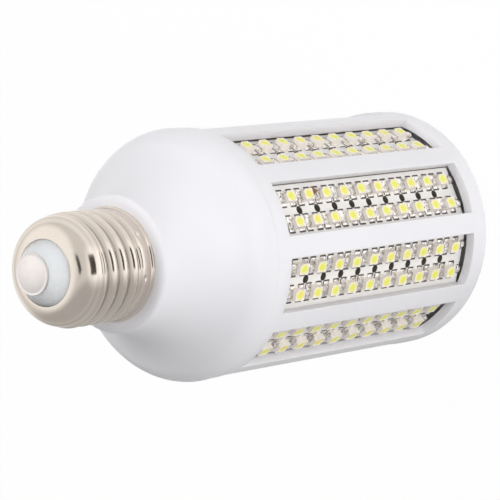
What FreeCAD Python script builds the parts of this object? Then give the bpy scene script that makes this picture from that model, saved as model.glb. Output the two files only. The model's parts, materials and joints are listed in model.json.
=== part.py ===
"""Corn LED bulb with an E27 screw cap, standing on its plain end with the cap up.

Ten strip boards stand behind the windows of a white cage. A bell-shaped lower
housing closes the cage, holds the driver and narrows to the neck that carries the
cap. Lengths are in millimetres, +Z runs along the bulb from the plain end to the
cap, and the origin is the centre of the plain end.
"""
import FreeCAD, Part
import math
import os

import Sketcher
from FreeCAD import Placement, Rotation, Vector

# Sizes that can be set by themselves, with what each one measures.
DRIVING = [
    ("body_diameter", 60.0, "outside of the cage"),
    ("cage_wall", 2.4, "wall of the cage"),
    ("seam_height", 88.0, "plain end to the seam with the lower housing"),
    ("end_thickness", 2.0, "closed end of the cage"),
    ("end_edge", 2.5, "rounding of the plain end"),
    ("end_ring", 7.3, "plain end to the windows"),
    ("seam_band", 5.0, "windows to the seam"),
    ("window_count", 10, "windows round the cage, and strip boards"),
    ("window_width", 13.3, "width of a window"),
    ("boss_diameter", 20.0, "boss on the closed end that carries the end board"),
    ("boss_wall", 2.0, "wall of that boss"),
    ("board_gap", 1.2, "bore of the cage to the face of a strip board"),
    ("board_thickness", 1.6, "strip boards, end board and driver board"),
    ("strip_gap", 0.25, "half the gap between neighbouring strip boards"),
    ("end_board_lift", 0.2, "lower end of the strips to the end board"),
    ("driver_board_drop", 1.0, "driver board to the upper end of the strips"),
    ("led_count", 10, "LEDs in a row"),
    ("led_row_gap", 6.4, "distance between the two rows of a strip"),
    ("led_lower_margin", 5.7, "window to the lowest LED"),
    ("led_upper_margin", 7.2, "highest LED to the window"),
    ("led_length", 3.5, "LED along the bulb"),
    ("led_width", 2.8, "LED across the strip"),
    ("led_height", 1.8, "LED above the board"),
    ("vent_diameter", 2.1, "vent holes between the rows"),
    ("solder_lift", 1.0, "lower end of a strip to its solder joints"),
    ("solder_diameter", 2.4, "foot of a solder joint"),
    ("solder_crown", 1.2, "flat top of a solder joint"),
    ("solder_height", 0.9, "solder joint above the board"),
    ("bell_bulge", 0.2, "widest radius of the bell over the cage radius"),
    ("bell_sink", 0.7, "widest place of the bell below the seam"),
    ("bell_round", 7.6, "radius of the bell's shoulder"),
    ("flare_round", 20.4, "radius of the hollow flare from the shoulder to the neck"),
    ("bell_wall", 1.6, "wall of the bell"),
    ("lip_height", 1.5, "lip of the lower housing inside the cage"),
    ("lip_wall", 1.7, "wall of that lip"),
    ("lip_root", 1.5, "lip above the seam"),
    ("fit_gap", 0.1, "clearance of pieces that slide into each other"),
    ("neck_diameter", 32.4, "neck under the cap"),
    ("neck_edge", 0.95, "rounding of the neck's upper edge"),
    ("post_wall", 1.5, "wall of the post inside the cap"),
    ("post_height", 12.0, "post above the neck"),
    ("cap_length", 27.5, "neck to the tip of the contact"),
    ("thread_diameter", 26.4, "crest of the thread"),
    ("thread_pitch", 3.629, "seven turns to the inch"),
    ("thread_depth", 1.0, "crest to root"),
    ("thread_mouth", 2.5, "width of the groove at the crest"),
    ("thread_floor", 1.1, "width of the groove at the root"),
    ("shell_gauge", 0.3, "sheet of the screw shell"),
    ("rim_diameter", 26.9, "flared lip at the foot of the screw shell"),
    ("rim_height", 1.2, "height of that lip"),
    ("skirt_diameter", 26.0, "plain skirt above the lip"),
    ("skirt_height", 3.5, "neck to the thread"),
    ("shell_height", 22.7, "neck to the mouth of the shell"),
    ("shoulder_round", 5.0, "rounded shoulder of the shell"),
    ("mouth_diameter", 15.4, "mouth of the shell round the insulator"),
    ("contact_diameter", 9.6, "centre contact"),
    ("contact_edge", 0.25, "edge of the centre contact"),
    ("contact_dome", 0.75, "dome of the centre contact above its edge"),
    ("insulator_step", 0.15, "insulator beyond the contact"),
    ("stem_diameter", 4.0, "stem of the centre contact"),
    ("stem_length", 10.0, "stem below the contact"),
    ("film_length", 18.0, "film capacitor along X"),
    ("film_width", 8.5, "film capacitor along Y"),
    ("film_height", 13.0, "film capacitor above the board"),
    ("film_round", 1.2, "upright edges of the film capacitor"),
    ("film_offset", 10.5, "axis of the bulb to the film capacitor"),
    ("reservoir_diameter", 10.0, "reservoir capacitor"),
    ("reservoir_height", 12.5, "reservoir capacitor above the board"),
    ("reservoir_round", 0.8, "rolled top edge of the reservoir capacitor"),
    ("reservoir_x", -9.0, "place of the reservoir capacitor"),
    ("reservoir_y", -9.5, "place of the reservoir capacitor"),
    ("rectifier_length", 8.5, "bridge rectifier along X"),
    ("rectifier_width", 6.5, "bridge rectifier along Y"),
    ("rectifier_height", 3.2, "bridge rectifier above the board"),
    ("rectifier_x", 8.5, "place of the bridge rectifier"),
    ("rectifier_y", -11.0, "place of the bridge rectifier"),
    ("resistor_lead", 0.7, "lead of the resistors"),
    ("resistor_reach", 2.5, "resistor body to the bend of its lead"),
    ("lead_bend", 1.05, "bend of the resistors' leads"),
    ("fuse_diameter", 3.6, "body of the fuse resistor"),
    ("fuse_length", 10.0, "body of the fuse resistor"),
    ("fuse_y", -4.0, "place of the fuse resistor"),
    ("bleed_diameter", 2.5, "body of the bleed resistor"),
    ("bleed_length", 7.0, "body of the bleed resistor"),
    ("bleed_y", 2.5, "place of the bleed resistor"),
    ("wire_diameter", 1.3, "insulated wires to the cap"),
    ("wire_offset", 15.5, "axis of the bulb to the feet of the wires"),
    ("wire_rise", 7.75, "driver board to the first bend of the wires"),
    ("live_bend", 7.75, "bends of the live wire"),
    ("live_run", 15.5, "last bend of the live wire to the contact's stem"),
    ("neutral_bend", 1.3, "bends of the neutral wire"),
    ("neutral_rise", 2.6, "neutral wire above the post"),
]

# Sizes that follow from the ones above.
DERIVED = [
    ("body_radius", "=body_diameter / 2"),
    ("bore_radius", "=body_radius - cage_wall"),
    ("end_flat", "=body_radius - end_edge"),
    ("window_top", "=seam_height - seam_band"),
    ("window_length", "=window_top - end_ring"),
    ("boss_radius", "=boss_diameter / 2"),
    ("boss_bore", "=boss_radius - boss_wall"),
    ("board_face", "=bore_radius - board_gap"),
    ("board_back", "=board_face - board_thickness"),
    ("board_corner", "=board_back / cos(180 / window_count)"),
    ("strip_width", "=2 * (board_back * tan(180 / window_count) - strip_gap)"),
    ("strip_foot", "=end_ring"),
    ("strip_top", "=seam_height - lip_height"),
    ("end_board_foot", "=strip_foot + end_board_lift"),
    ("driver_board_top", "=strip_top - driver_board_drop"),
    ("driver_board_foot", "=driver_board_top - board_thickness"),
    ("led_first", "=end_ring + led_lower_margin"),
    ("led_pitch", "=(window_length - led_lower_margin - led_upper_margin) / (led_count - 1)"),
    ("vent_first", "=led_first + led_pitch / 2"),
    ("vent_count", "=led_count - 1"),
    ("vent_span", "=led_pitch * (vent_count - 1)"),
    ("vent_radius", "=vent_diameter / 2"),
    ("lip_outer", "=bore_radius - fit_gap"),
    ("lip_inner", "=lip_outer - lip_wall"),
    ("lip_top", "=seam_height + lip_root"),
    ("bell_axis", "=body_radius + bell_bulge - bell_round"),
    ("bell_centre", "=seam_height - bell_sink"),
    ("bell_rim", "=bell_axis + sqrt(bell_round ^ 2 - bell_sink ^ 2)"),
    ("neck_radius", "=neck_diameter / 2"),
    ("neck_flat", "=neck_radius - neck_edge"),
    ("flare_axis", "=neck_radius + flare_round"),
    ("flare_rise", "=sqrt((bell_round + flare_round) ^ 2 - (flare_axis - bell_axis) ^ 2)"),
    ("flare_height", "=bell_centre + flare_rise"),
    ("join_share", "=bell_round / (bell_round + flare_round)"),
    ("join_radius", "=bell_axis + (flare_axis - bell_axis) * join_share"),
    ("join_height", "=bell_centre + flare_rise * join_share"),
    ("hollow_round", "=bell_round - bell_wall"),
    ("hollow_share", "=hollow_round / (bell_round + flare_round)"),
    ("hollow_join", "=bell_axis + (flare_axis - bell_axis) * hollow_share"),
    ("hollow_join_height", "=bell_centre + flare_rise * hollow_share"),
    ("hollow_rim", "=bell_axis + sqrt(hollow_round ^ 2 - (lip_top - bell_centre) ^ 2)"),
    ("seat", "=flare_height + neck_edge"),
    ("crest_radius", "=thread_diameter / 2"),
    ("root_radius", "=crest_radius - thread_depth"),
    ("shell_bore", "=root_radius - shell_gauge"),
    ("post_radius", "=shell_bore - fit_gap"),
    ("post_bore", "=post_radius - post_wall"),
    ("post_top", "=seat + post_height"),
    ("post_foot", "=seat - bell_wall"),
    ("hollow_neck", "=flare_axis - sqrt((flare_round + bell_wall) ^ 2 - (flare_height - post_foot) ^ 2)"),
    ("rim_radius", "=rim_diameter / 2"),
    ("rim_edge", "=seat + shell_gauge"),
    ("rim_top", "=seat + rim_height"),
    ("skirt_radius", "=skirt_diameter / 2"),
    ("skirt_top", "=seat + skirt_height"),
    ("shell_top", "=seat + shell_height"),
    ("shoulder_foot", "=shell_top - shoulder_round"),
    ("mouth_radius", "=mouth_diameter / 2"),
    ("shoulder_radius", "=mouth_radius + shoulder_round"),
    ("shoulder_inner", "=shoulder_radius - shell_gauge"),
    ("mouth_foot", "=shell_top - shell_gauge"),
    ("thread_start", "=skirt_top + thread_mouth / 2"),
    ("thread_height", "=shoulder_foot - thread_start"),
    ("groove_outer", "=crest_radius + thread_depth / 2"),
    ("groove_widest",
     "=thread_floor + (thread_mouth - thread_floor) * (groove_outer - root_radius) / thread_depth"),
    ("plug_radius", "=shoulder_inner - fit_gap"),
    ("plug_top", "=mouth_foot - fit_gap"),
    ("plug_neck", "=mouth_radius - fit_gap"),
    ("tip", "=seat + cap_length"),
    ("contact_radius", "=contact_diameter / 2"),
    ("contact_rise", "=tip - contact_dome"),
    ("contact_seat", "=contact_rise - contact_edge"),
    ("contact_ball", "=(contact_radius ^ 2 + contact_dome ^ 2) / (2 * contact_dome)"),
    ("contact_centre", "=tip - contact_ball"),
    ("insulator_top", "=contact_radius + insulator_step"),
    ("stem_radius", "=stem_diameter / 2"),
    ("stem_foot", "=contact_seat - stem_length"),
    ("stem_hole", "=stem_radius + fit_gap"),
]

FULL_TURN = 360.0
ZERO = None

doc = FreeCAD.newDocument("corn_led_bulb")
sheet = doc.addObject("Spreadsheet::Sheet", "Sizes")
pieces = []


def fill_sheet():
    """Writes every size to the sheet, one row each, under its alias."""
    notes = [(alias, str(value), note) for alias, value, note in DRIVING]
    notes += [(alias, formula, "follows") for alias, formula in DERIVED]
    for row, (alias, content, note) in enumerate(notes, start=1):
        sheet.set("A%d" % row, alias)
        sheet.set("B%d" % row, content)
        sheet.set("C%d" % row, note)
        sheet.setAlias("B%d" % row, alias)
    doc.recompute()


def size(alias):
    """The number that a cell holds; ZERO stands for a place on the axis."""
    return 0.0 if alias is ZERO else float(sheet.get(alias))


def bind(thing, prop, alias):
    """Ties a property or a constraint to a cell of the sheet."""
    thing.setExpression(prop, "Sizes." + alias)


def keep(thing, label):
    """Names a finished sub-part and puts it on the list that is written out."""
    thing.Label = label
    pieces.append(thing)
    return thing


class Free:
    """A coordinate that an arc already settles: it only places the first draft."""

    def __init__(self, alias):
        self.alias = alias


class Round:
    """An arc to the next corner, about a centre; ccw tells which way it turns."""

    def __init__(self, across, up, ccw):
        self.across = across
        self.up = up
        self.ccw = ccw


def origin_feature(body, role):
    """One of a body's own origin planes or axes."""
    return next(part for part in body.Origin.OriginFeatures if part.Role == role)


def new_sketch(body, name, lift=ZERO):
    """A sketch on the body's XZ plane, moved out along -Y by a cell's value."""
    sketch = body.newObject("Sketcher::SketchObject", name)
    sketch.AttachmentSupport = (origin_feature(body, "XZ_Plane"), [""])
    sketch.MapMode = "FlatFace"
    if lift is not ZERO:
        sketch.setExpression("AttachmentOffset.Base.z", "Sizes." + lift)
    return sketch


def pin_point(sketch, curve, end, across, up):
    """Ties one point of a curve to cells, or to an axis where the cell is ZERO."""
    for alias, kind, axis in ((across, "DistanceX", -2), (up, "DistanceY", -1)):
        if isinstance(alias, Free):
            continue
        if alias is ZERO:
            sketch.addConstraint(Sketcher.Constraint("PointOnObject", curve, end, axis))
            continue
        index = sketch.addConstraint(Sketcher.Constraint(kind, -1, 1, curve, end, size(alias)))
        bind(sketch, "Constraints[%d]" % index, alias)


def spot(corner):
    """The sketch point of a corner, from the cells that it names."""
    across, up = [part.alias if isinstance(part, Free) else part for part in corner]
    return Vector(size(across), size(up), 0)


def draw_outline(sketch, walk):
    """Draws a closed outline. A walk lists corners, with a Round before the corner it leads to."""
    corners = [step for step in walk if isinstance(step, tuple)]
    rounds = {}
    for place, step in enumerate(walk):
        if isinstance(step, Round):
            reached = sum(isinstance(earlier, tuple) for earlier in walk[:place])
            rounds[reached - 1] = step
    curves = []
    for number, corner in enumerate(corners):
        here = spot(corner)
        there = spot(corners[(number + 1) % len(corners)])
        turn = rounds.get(number)
        if turn is None:
            curves.append((sketch.addGeometry(Part.LineSegment(here, there)), 1, 2))
            continue
        centre = Vector(size(turn.across), size(turn.up), 0)
        first, last = (here, there) if turn.ccw else (there, here)
        circle = Part.Circle(centre, Vector(0, 0, 1), (here - centre).Length)
        angles = [math.atan2(end.y - centre.y, end.x - centre.x) for end in (first, last)]
        if angles[1] < angles[0]:
            angles[1] += 2 * math.pi
        curve = sketch.addGeometry(Part.ArcOfCircle(circle, angles[0], angles[1]))
        curves.append((curve, 1, 2) if turn.ccw else (curve, 2, 1))
        pin_point(sketch, curve, 3, turn.across, turn.up)
    for number, (curve, start, end) in enumerate(curves):
        following, opening, _ = curves[(number + 1) % len(curves)]
        sketch.addConstraint(Sketcher.Constraint("Coincident", curve, end, following, opening))
        pin_point(sketch, curve, start, *corners[number])


def new_body(name):
    return doc.addObject("PartDesign::Body", name)


def turned_body(name, walk):
    """A body turned about Z from its half section: corners are (radius, height)."""
    body = new_body(name)
    sketch = new_sketch(body, name + "_section")
    draw_outline(sketch, walk)
    turn = body.newObject("PartDesign::Revolution", name + "_turn")
    turn.Profile = sketch
    turn.ReferenceAxis = (sketch, ["V_Axis"])
    turn.Angle = FULL_TURN
    sketch.Visibility = False
    doc.recompute()
    return body


def centred_rectangle(sketch, width, foot, top):
    """A rectangle that is centred on the sketch's upright axis."""
    half = size(width) / 2
    ends = [Vector(-half, size(foot), 0), Vector(half, size(foot), 0),
            Vector(half, size(top), 0), Vector(-half, size(top), 0)]
    for number in range(4):
        sketch.addGeometry(Part.LineSegment(ends[number], ends[(number + 1) % 4]))
    for number in range(4):
        sketch.addConstraint(Sketcher.Constraint("Coincident", number, 2, (number + 1) % 4, 1))
    for number, kind in ((1, "Vertical"), (2, "Horizontal"), (3, "Vertical")):
        sketch.addConstraint(Sketcher.Constraint(kind, number))
    sketch.addConstraint(Sketcher.Constraint("Symmetric", 0, 1, 0, 2, -2))
    rules = [(width, Sketcher.Constraint("DistanceX", 0, 1, 0, 2, size(width))),
             (foot, Sketcher.Constraint("DistanceY", -1, 1, 0, 1, size(foot))),
             (top, Sketcher.Constraint("DistanceY", -1, 1, 2, 1, size(top)))]
    for alias, rule in rules:
        bind(sketch, "Constraints[%d]" % sketch.addConstraint(rule), alias)


def make_cage():
    """The white cage: a closed end with a boss inside, and windows round its wall."""
    body = turned_body("cage", [
        (ZERO, ZERO), ("end_flat", ZERO), Round("end_flat", "end_edge", True),
        (Free("body_radius"), "end_edge"), ("body_radius", "seam_height"),
        ("bore_radius", "seam_height"), ("bore_radius", "end_thickness"),
        ("boss_radius", "end_thickness"), ("boss_radius", "end_board_foot"),
        ("boss_bore", "end_board_foot"), ("boss_bore", "end_thickness"), (ZERO, "end_thickness"),
    ])
    whole = body.Shape.Volume
    sketch = new_sketch(body, "window_outline", "board_face")
    centred_rectangle(sketch, "window_width", "end_ring", "window_top")
    window = body.newObject("PartDesign::Pocket", "window")
    window.Profile = sketch
    window.Reversed = True
    bind(window, "Length", "body_radius")
    doc.recompute()
    ring = body.newObject("PartDesign::PolarPattern", "windows")
    ring.Originals = [window]
    ring.Axis = (origin_feature(body, "Z_Axis"), [""])
    ring.Angle = FULL_TURN
    bind(ring, "Occurrences", "window_count")
    body.Tip = ring
    doc.recompute()
    print("cage volume", round(whole), "with windows", round(body.Shape.Volume))
    return keep(body, "cage")


def make_lower_housing():
    """The bell-shaped housing: a lip in the cage, a shoulder, a flare, and the post that the cap grips."""
    return keep(turned_body("lower_housing", [
        ("lip_inner", "strip_top"), ("lip_outer", "strip_top"), ("lip_outer", "seam_height"),
        ("bell_rim", "seam_height"), Round("bell_axis", "bell_centre", True),
        ("join_radius", Free("join_height")), Round("flare_axis", "flare_height", False),
        (Free("neck_radius"), "flare_height"), Round("neck_flat", "flare_height", True),
        ("neck_flat", Free("seat")), ("post_radius", "seat"), ("post_radius", "post_top"),
        ("post_bore", "post_top"), ("post_bore", "post_foot"), ("hollow_neck", "post_foot"),
        Round("flare_axis", "flare_height", True), ("hollow_join", Free("hollow_join_height")),
        Round("bell_axis", "bell_centre", False), (Free("hollow_rim"), "lip_top"),
        ("lip_inner", "lip_top"),
    ]), "lower_housing")


def make_screw_shell():
    """The plated screw shell: flared lip, plain skirt, rolled thread and rounded shoulder."""
    body = turned_body("screw_shell", [
        ("shell_bore", "seat"), ("rim_radius", "seat"), ("rim_radius", "rim_edge"),
        ("skirt_radius", "rim_top"), ("skirt_radius", "skirt_top"), ("crest_radius", "skirt_top"),
        ("crest_radius", "shoulder_foot"), ("shoulder_radius", "shoulder_foot"),
        Round("mouth_radius", "shoulder_foot", True), ("mouth_radius", Free("shell_top")),
        ("mouth_radius", "mouth_foot"), Round("mouth_radius", "shoulder_foot", False),
        (Free("shoulder_inner"), "shoulder_foot"), ("shell_bore", "shoulder_foot"),
    ])
    plain = body.Shape.Volume
    sketch = new_sketch(body, "groove_section")
    draw_groove(sketch)
    groove = body.newObject("PartDesign::SubtractiveHelix", "thread")
    groove.Profile = sketch
    groove.ReferenceAxis = (sketch, ["V_Axis"])
    groove.Mode = "pitch-height-angle"
    bind(groove, "Pitch", "thread_pitch")
    bind(groove, "Height", "thread_height")
    groove.LeftHanded = False
    body.Tip = groove
    doc.recompute()
    print("screw shell volume", round(plain), "with thread", round(body.Shape.Volume))
    return keep(body, "screw_shell")


def draw_groove(sketch):
    """The section of the thread's groove: a flat root and two straight flanks."""
    foot = size("thread_start")
    inner, outer = size("root_radius"), size("groove_outer")
    narrow, wide = size("thread_floor") / 2, size("groove_widest") / 2
    ends = [Vector(inner, foot - narrow, 0), Vector(outer, foot - wide, 0),
            Vector(outer, foot + wide, 0), Vector(inner, foot + narrow, 0)]
    for number in range(4):
        sketch.addGeometry(Part.LineSegment(ends[number], ends[(number + 1) % 4]))
    for number in range(4):
        sketch.addConstraint(Sketcher.Constraint("Coincident", number, 2, (number + 1) % 4, 1))
    sketch.addConstraint(Sketcher.Constraint("Vertical", 1))
    sketch.addConstraint(Sketcher.Constraint("Vertical", 3))
    middle = sketch.addGeometry(Part.Point(Vector(inner, foot, 0)))
    pin_point(sketch, middle, 1, "root_radius", "thread_start")
    sketch.addConstraint(Sketcher.Constraint("Symmetric", 3, 1, 3, 2, middle, 1))
    sketch.addConstraint(Sketcher.Constraint("Equal", 0, 2))
    for curve, alias in ((3, "thread_floor"), (1, "groove_widest")):
        index = sketch.addConstraint(Sketcher.Constraint("Distance", curve, size(alias)))
        bind(sketch, "Constraints[%d]" % index, alias)
    index = sketch.addConstraint(Sketcher.Constraint("DistanceX", -1, 1, 1, 1, outer))
    bind(sketch, "Constraints[%d]" % index, "groove_outer")


def make_cap_insulator():
    """The insulator: a plug under the shell's shoulder that rises through its mouth."""
    return keep(turned_body("cap_insulator", [
        ("stem_hole", "shoulder_foot"), ("plug_radius", "shoulder_foot"),
        Round("mouth_radius", "shoulder_foot", True), ("mouth_radius", Free("plug_top")),
        ("plug_neck", "plug_top"), ("plug_neck", "shell_top"),
        ("insulator_top", "contact_seat"), ("stem_hole", "contact_seat"),
    ]), "cap_insulator")


def make_centre_contact():
    """The centre contact: a domed button with a stem for the live wire."""
    return keep(turned_body("centre_contact", [
        (ZERO, "stem_foot"), ("stem_radius", "stem_foot"), ("stem_radius", "contact_seat"),
        ("contact_radius", "contact_seat"), ("contact_radius", "contact_rise"),
        Round(ZERO, "contact_centre", True), (ZERO, Free("tip")),
    ]), "centre_contact")


def round_place(number):
    """Turns a piece that was drawn on the -Y side to its own window."""
    return Placement(Vector(0, 0, 0), Rotation(Vector(0, 0, 1), FULL_TURN * number / size("window_count")))


def make_led_board(number):
    """One strip board with its row of vent holes, drawn on the -Y side and turned to its window."""
    name = "led_board_%02d" % (number + 1)
    body = new_body(name)
    sketch = new_sketch(body, name + "_outline", "board_face")
    centred_rectangle(sketch, "strip_width", "strip_foot", "strip_top")
    plate = body.newObject("PartDesign::Pad", name + "_plate")
    plate.Profile = sketch
    plate.Reversed = True
    bind(plate, "Length", "board_thickness")
    hole_sketch = new_sketch(body, name + "_vent_outline", "board_face")
    circle = Part.Circle(Vector(0, size("vent_first"), 0), Vector(0, 0, 1), size("vent_radius"))
    curve = hole_sketch.addGeometry(circle)
    pin_point(hole_sketch, curve, 3, ZERO, "vent_first")
    index = hole_sketch.addConstraint(Sketcher.Constraint("Radius", curve, size("vent_radius")))
    bind(hole_sketch, "Constraints[%d]" % index, "vent_radius")
    doc.recompute()
    vent = body.newObject("PartDesign::Pocket", name + "_vent")
    vent.Profile = hole_sketch
    bind(vent, "Length", "board_thickness")
    row = body.newObject("PartDesign::LinearPattern", name + "_vents")
    row.Originals = [vent]
    row.Direction = (hole_sketch, ["V_Axis"])
    bind(row, "Length", "vent_span")
    bind(row, "Occurrences", "vent_count")
    body.Tip = row
    body.Placement = round_place(number)
    return keep(body, name)


def kept_shape(label, shape, place=Placement()):
    """A sub-part whose shape is worked out in code: a set of solids, or a bent wire."""
    thing = doc.addObject("Part::Feature", label)
    thing.Shape = shape
    thing.Placement = place
    return keep(thing, label)


def make_leds(number):
    """The two rows of LEDs on one strip: separate blocks that share a node."""
    width, height, length = size("led_width"), size("led_height"), size("led_length")
    blocks = []
    for side in (-1, 1):
        for step in range(int(size("led_count"))):
            across = side * size("led_row_gap") / 2
            up = size("led_first") + step * size("led_pitch")
            corner = Vector(across - width / 2, -size("board_face") - height, up - length / 2)
            blocks.append(Part.makeBox(width, height, length, corner))
    return kept_shape("leds_%02d" % (number + 1), Part.Compound(blocks), round_place(number))


def make_solder_joints():
    """Two cone-shaped solder joints at the lower end of each strip."""
    foot, crown = size("solder_diameter") / 2, size("solder_crown") / 2
    up = size("strip_foot") + size("solder_lift")
    joints = []
    for number in range(int(size("window_count"))):
        for side in (-1, 1):
            place = Vector(side * size("led_row_gap") / 2, -size("board_face"), up)
            joint = Part.makeCone(foot, crown, size("solder_height"), place, Vector(0, -1, 0))
            joint.Placement = round_place(number).multiply(joint.Placement)
            joints.append(joint)
    return kept_shape("solder_joints", Part.Compound(joints))


def make_round_board(label, foot):
    """A many-sided board whose edges stand against the backs of the strips."""
    board = doc.addObject("Part::Prism", label)
    bind(board, "Polygon", "window_count")
    bind(board, "Circumradius", "board_corner")
    bind(board, "Height", "board_thickness")
    bind(board, "Placement.Base.z", foot)
    return keep(board, label)


def make_film_capacitor():
    """The film capacitor that drops the mains voltage: a cast block with round edges."""
    block = doc.addObject("Part::Box", "film_block")
    bind(block, "Length", "film_length")
    bind(block, "Width", "film_width")
    bind(block, "Height", "film_height")
    block.setExpression("Placement.Base.x", "-Sizes.film_length / 2")
    block.setExpression("Placement.Base.y", "Sizes.film_offset - Sizes.film_width / 2")
    bind(block, "Placement.Base.z", "driver_board_top")
    doc.recompute()
    upright = [number for number, edge in enumerate(block.Shape.Edges, start=1)
               if edge.BoundBox.ZLength > edge.BoundBox.XLength + edge.BoundBox.YLength]
    rounded = doc.addObject("Part::Fillet", "film_rounded")
    rounded.Base = block
    rounded.Edges = [(number, size("film_round"), size("film_round")) for number in upright]
    return keep(rounded, "film_capacitor")


def make_reservoir_capacitor():
    """The reservoir capacitor: a can with a rolled top edge."""
    can = doc.addObject("Part::Cylinder", "reservoir_can")
    can.setExpression("Radius", "Sizes.reservoir_diameter / 2")
    bind(can, "Height", "reservoir_height")
    bind(can, "Placement.Base.x", "reservoir_x")
    bind(can, "Placement.Base.y", "reservoir_y")
    bind(can, "Placement.Base.z", "driver_board_top")
    doc.recompute()
    top = [number for number, edge in enumerate(can.Shape.Edges, start=1)
           if edge.Closed and edge.CenterOfMass.z > size("driver_board_top") + size("reservoir_round")]
    rolled = doc.addObject("Part::Fillet", "reservoir_rolled")
    rolled.Base = can
    rolled.Edges = [(number, size("reservoir_round"), size("reservoir_round")) for number in top]
    return keep(rolled, "reservoir_capacitor")


def make_bridge_rectifier():
    """The bridge rectifier: a flat block on the driver board."""
    block = doc.addObject("Part::Box", "rectifier_block")
    bind(block, "Length", "rectifier_length")
    bind(block, "Width", "rectifier_width")
    bind(block, "Height", "rectifier_height")
    block.setExpression("Placement.Base.x", "Sizes.rectifier_x - Sizes.rectifier_length / 2")
    block.setExpression("Placement.Base.y", "Sizes.rectifier_y - Sizes.rectifier_width / 2")
    bind(block, "Placement.Base.z", "driver_board_top")
    return keep(block, "bridge_rectifier")


def bent_wire(points, diameter, bend):
    """A round wire along straight runs, with an arc of one radius at each bend."""
    edges = []
    start = points[0]
    for before, corner, after in zip(points, points[1:], points[2:]):
        back, ahead = (before - corner).normalize(), (after - corner).normalize()
        half = back.getAngle(ahead) / 2
        reach = bend / math.tan(half)
        inward = (back + ahead).normalize()
        middle = corner + inward * (bend / math.sin(half) - bend)
        edges.append(Part.LineSegment(start, corner + back * reach).toShape())
        edges.append(Part.Arc(corner + back * reach, middle, corner + ahead * reach).toShape())
        start = corner + ahead * reach
    edges.append(Part.LineSegment(start, points[-1]).toShape())
    path = Part.Wire(edges)
    circle = Part.Circle(points[0], points[1] - points[0], diameter / 2)
    section = Part.Wire(circle.toShape())
    wire = path.makePipeShell([section], True, True)
    print("wire length", round(path.Length, 1), "volume", round(wire.Volume, 1),
          "expected", round(path.Length * math.pi * diameter ** 2 / 4, 1))
    return wire


def make_resistor(label, diameter, length, across):
    """A resistor that lies along X, with its leads bent down to the driver board."""
    lead = size("resistor_lead")
    board = size("driver_board_top")
    up = board + size(diameter) / 2 + lead
    reach = size(length) / 2 + size("resistor_reach")
    body = Part.makeCylinder(size(diameter) / 2, size(length),
                             Vector(-size(length) / 2, size(across), up), Vector(1, 0, 0))
    ends = []
    for side in (-1, 1):
        route = [Vector(0, size(across), up), Vector(side * reach, size(across), up),
                 Vector(side * reach, size(across), board)]
        ends.append(bent_wire(route, lead, size("lead_bend")))
    return kept_shape(label, body.fuse(ends).removeSplitter())


def make_live_wire():
    """The wire from the driver board to the stem of the centre contact."""
    foot = size("wire_offset")
    board, end = size("driver_board_top"), size("stem_foot")
    route = [Vector(-foot, 0, board), Vector(-foot, 0, board + size("wire_rise")),
             Vector(0, 0, end - size("live_run")), Vector(0, 0, end)]
    return kept_shape("live_wire", bent_wire(route, size("wire_diameter"), size("live_bend")))


def make_neutral_wire():
    """The wire from the driver board over the post to the inside of the screw shell."""
    gap = size("wire_diameter")
    foot = size("wire_offset")
    board, end = size("driver_board_top"), size("post_top") + size("neutral_rise")
    inside = size("post_bore") - gap
    route = [Vector(foot, 0, board), Vector(foot, 0, board + size("wire_rise")),
             Vector(inside, 0, size("post_foot") + gap), Vector(inside, 0, end),
             Vector(size("shell_bore") - size("fit_gap"), 0, end)]
    return kept_shape("neutral_wire", bent_wire(route, gap, size("neutral_bend")))


def write_parts():
    """Stops on a failed or empty piece, then writes each sub-part to its own file."""
    for thing in doc.Objects:
        if any(word in thing.State for word in ("Invalid", "Error")):
            raise RuntimeError("%s failed: %s" % (thing.Label, thing.State))
    for piece in pieces:
        if piece.Shape.isNull() or not piece.Shape.isValid() or not piece.Shape.Solids:
            raise RuntimeError("%s has no valid shape" % piece.Label)
    os.makedirs("parts", exist_ok=True)
    for piece in pieces:
        piece.Shape.exportStep("parts/%s.step" % piece.Label)
    print("wrote", len(pieces), "sub-parts")


fill_sheet()
make_cage()
make_lower_housing()
make_screw_shell()
make_cap_insulator()
make_centre_contact()
for index in range(int(size("window_count"))):
    make_led_board(index)
    make_leds(index)
make_solder_joints()
make_round_board("end_board", "end_board_foot")
make_round_board("driver_board", "driver_board_foot")
make_film_capacitor()
make_reservoir_capacitor()
make_bridge_rectifier()
make_resistor("fuse_resistor", "fuse_diameter", "fuse_length", "fuse_y")
make_resistor("bleed_resistor", "bleed_diameter", "bleed_length", "bleed_y")
make_live_wire()
make_neutral_wire()
doc.recompute()
write_parts()
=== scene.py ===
# %% [markdown]
# # A corn LED bulb
#
# The real bulb is a white plastic cage with ten long windows. Behind each window stands
# a strip board with two rows of LEDs. A bell-shaped housing closes the cage at one end and
# carries an E27 screw cap. The bulb stands on its plain end with the cap up, and the
# camera looks down on it, rolled so that the cap points to the left of the picture.
#
# The solid model is already finished, so this script only dresses it. It first loads
# that model as a fixed frame and reads the sizes it needs from the frame's boxes.

# %% Load the solid model and read its sizes
import json
import math

import bmesh
import bpy
from mathutils import Matrix, Vector


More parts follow.
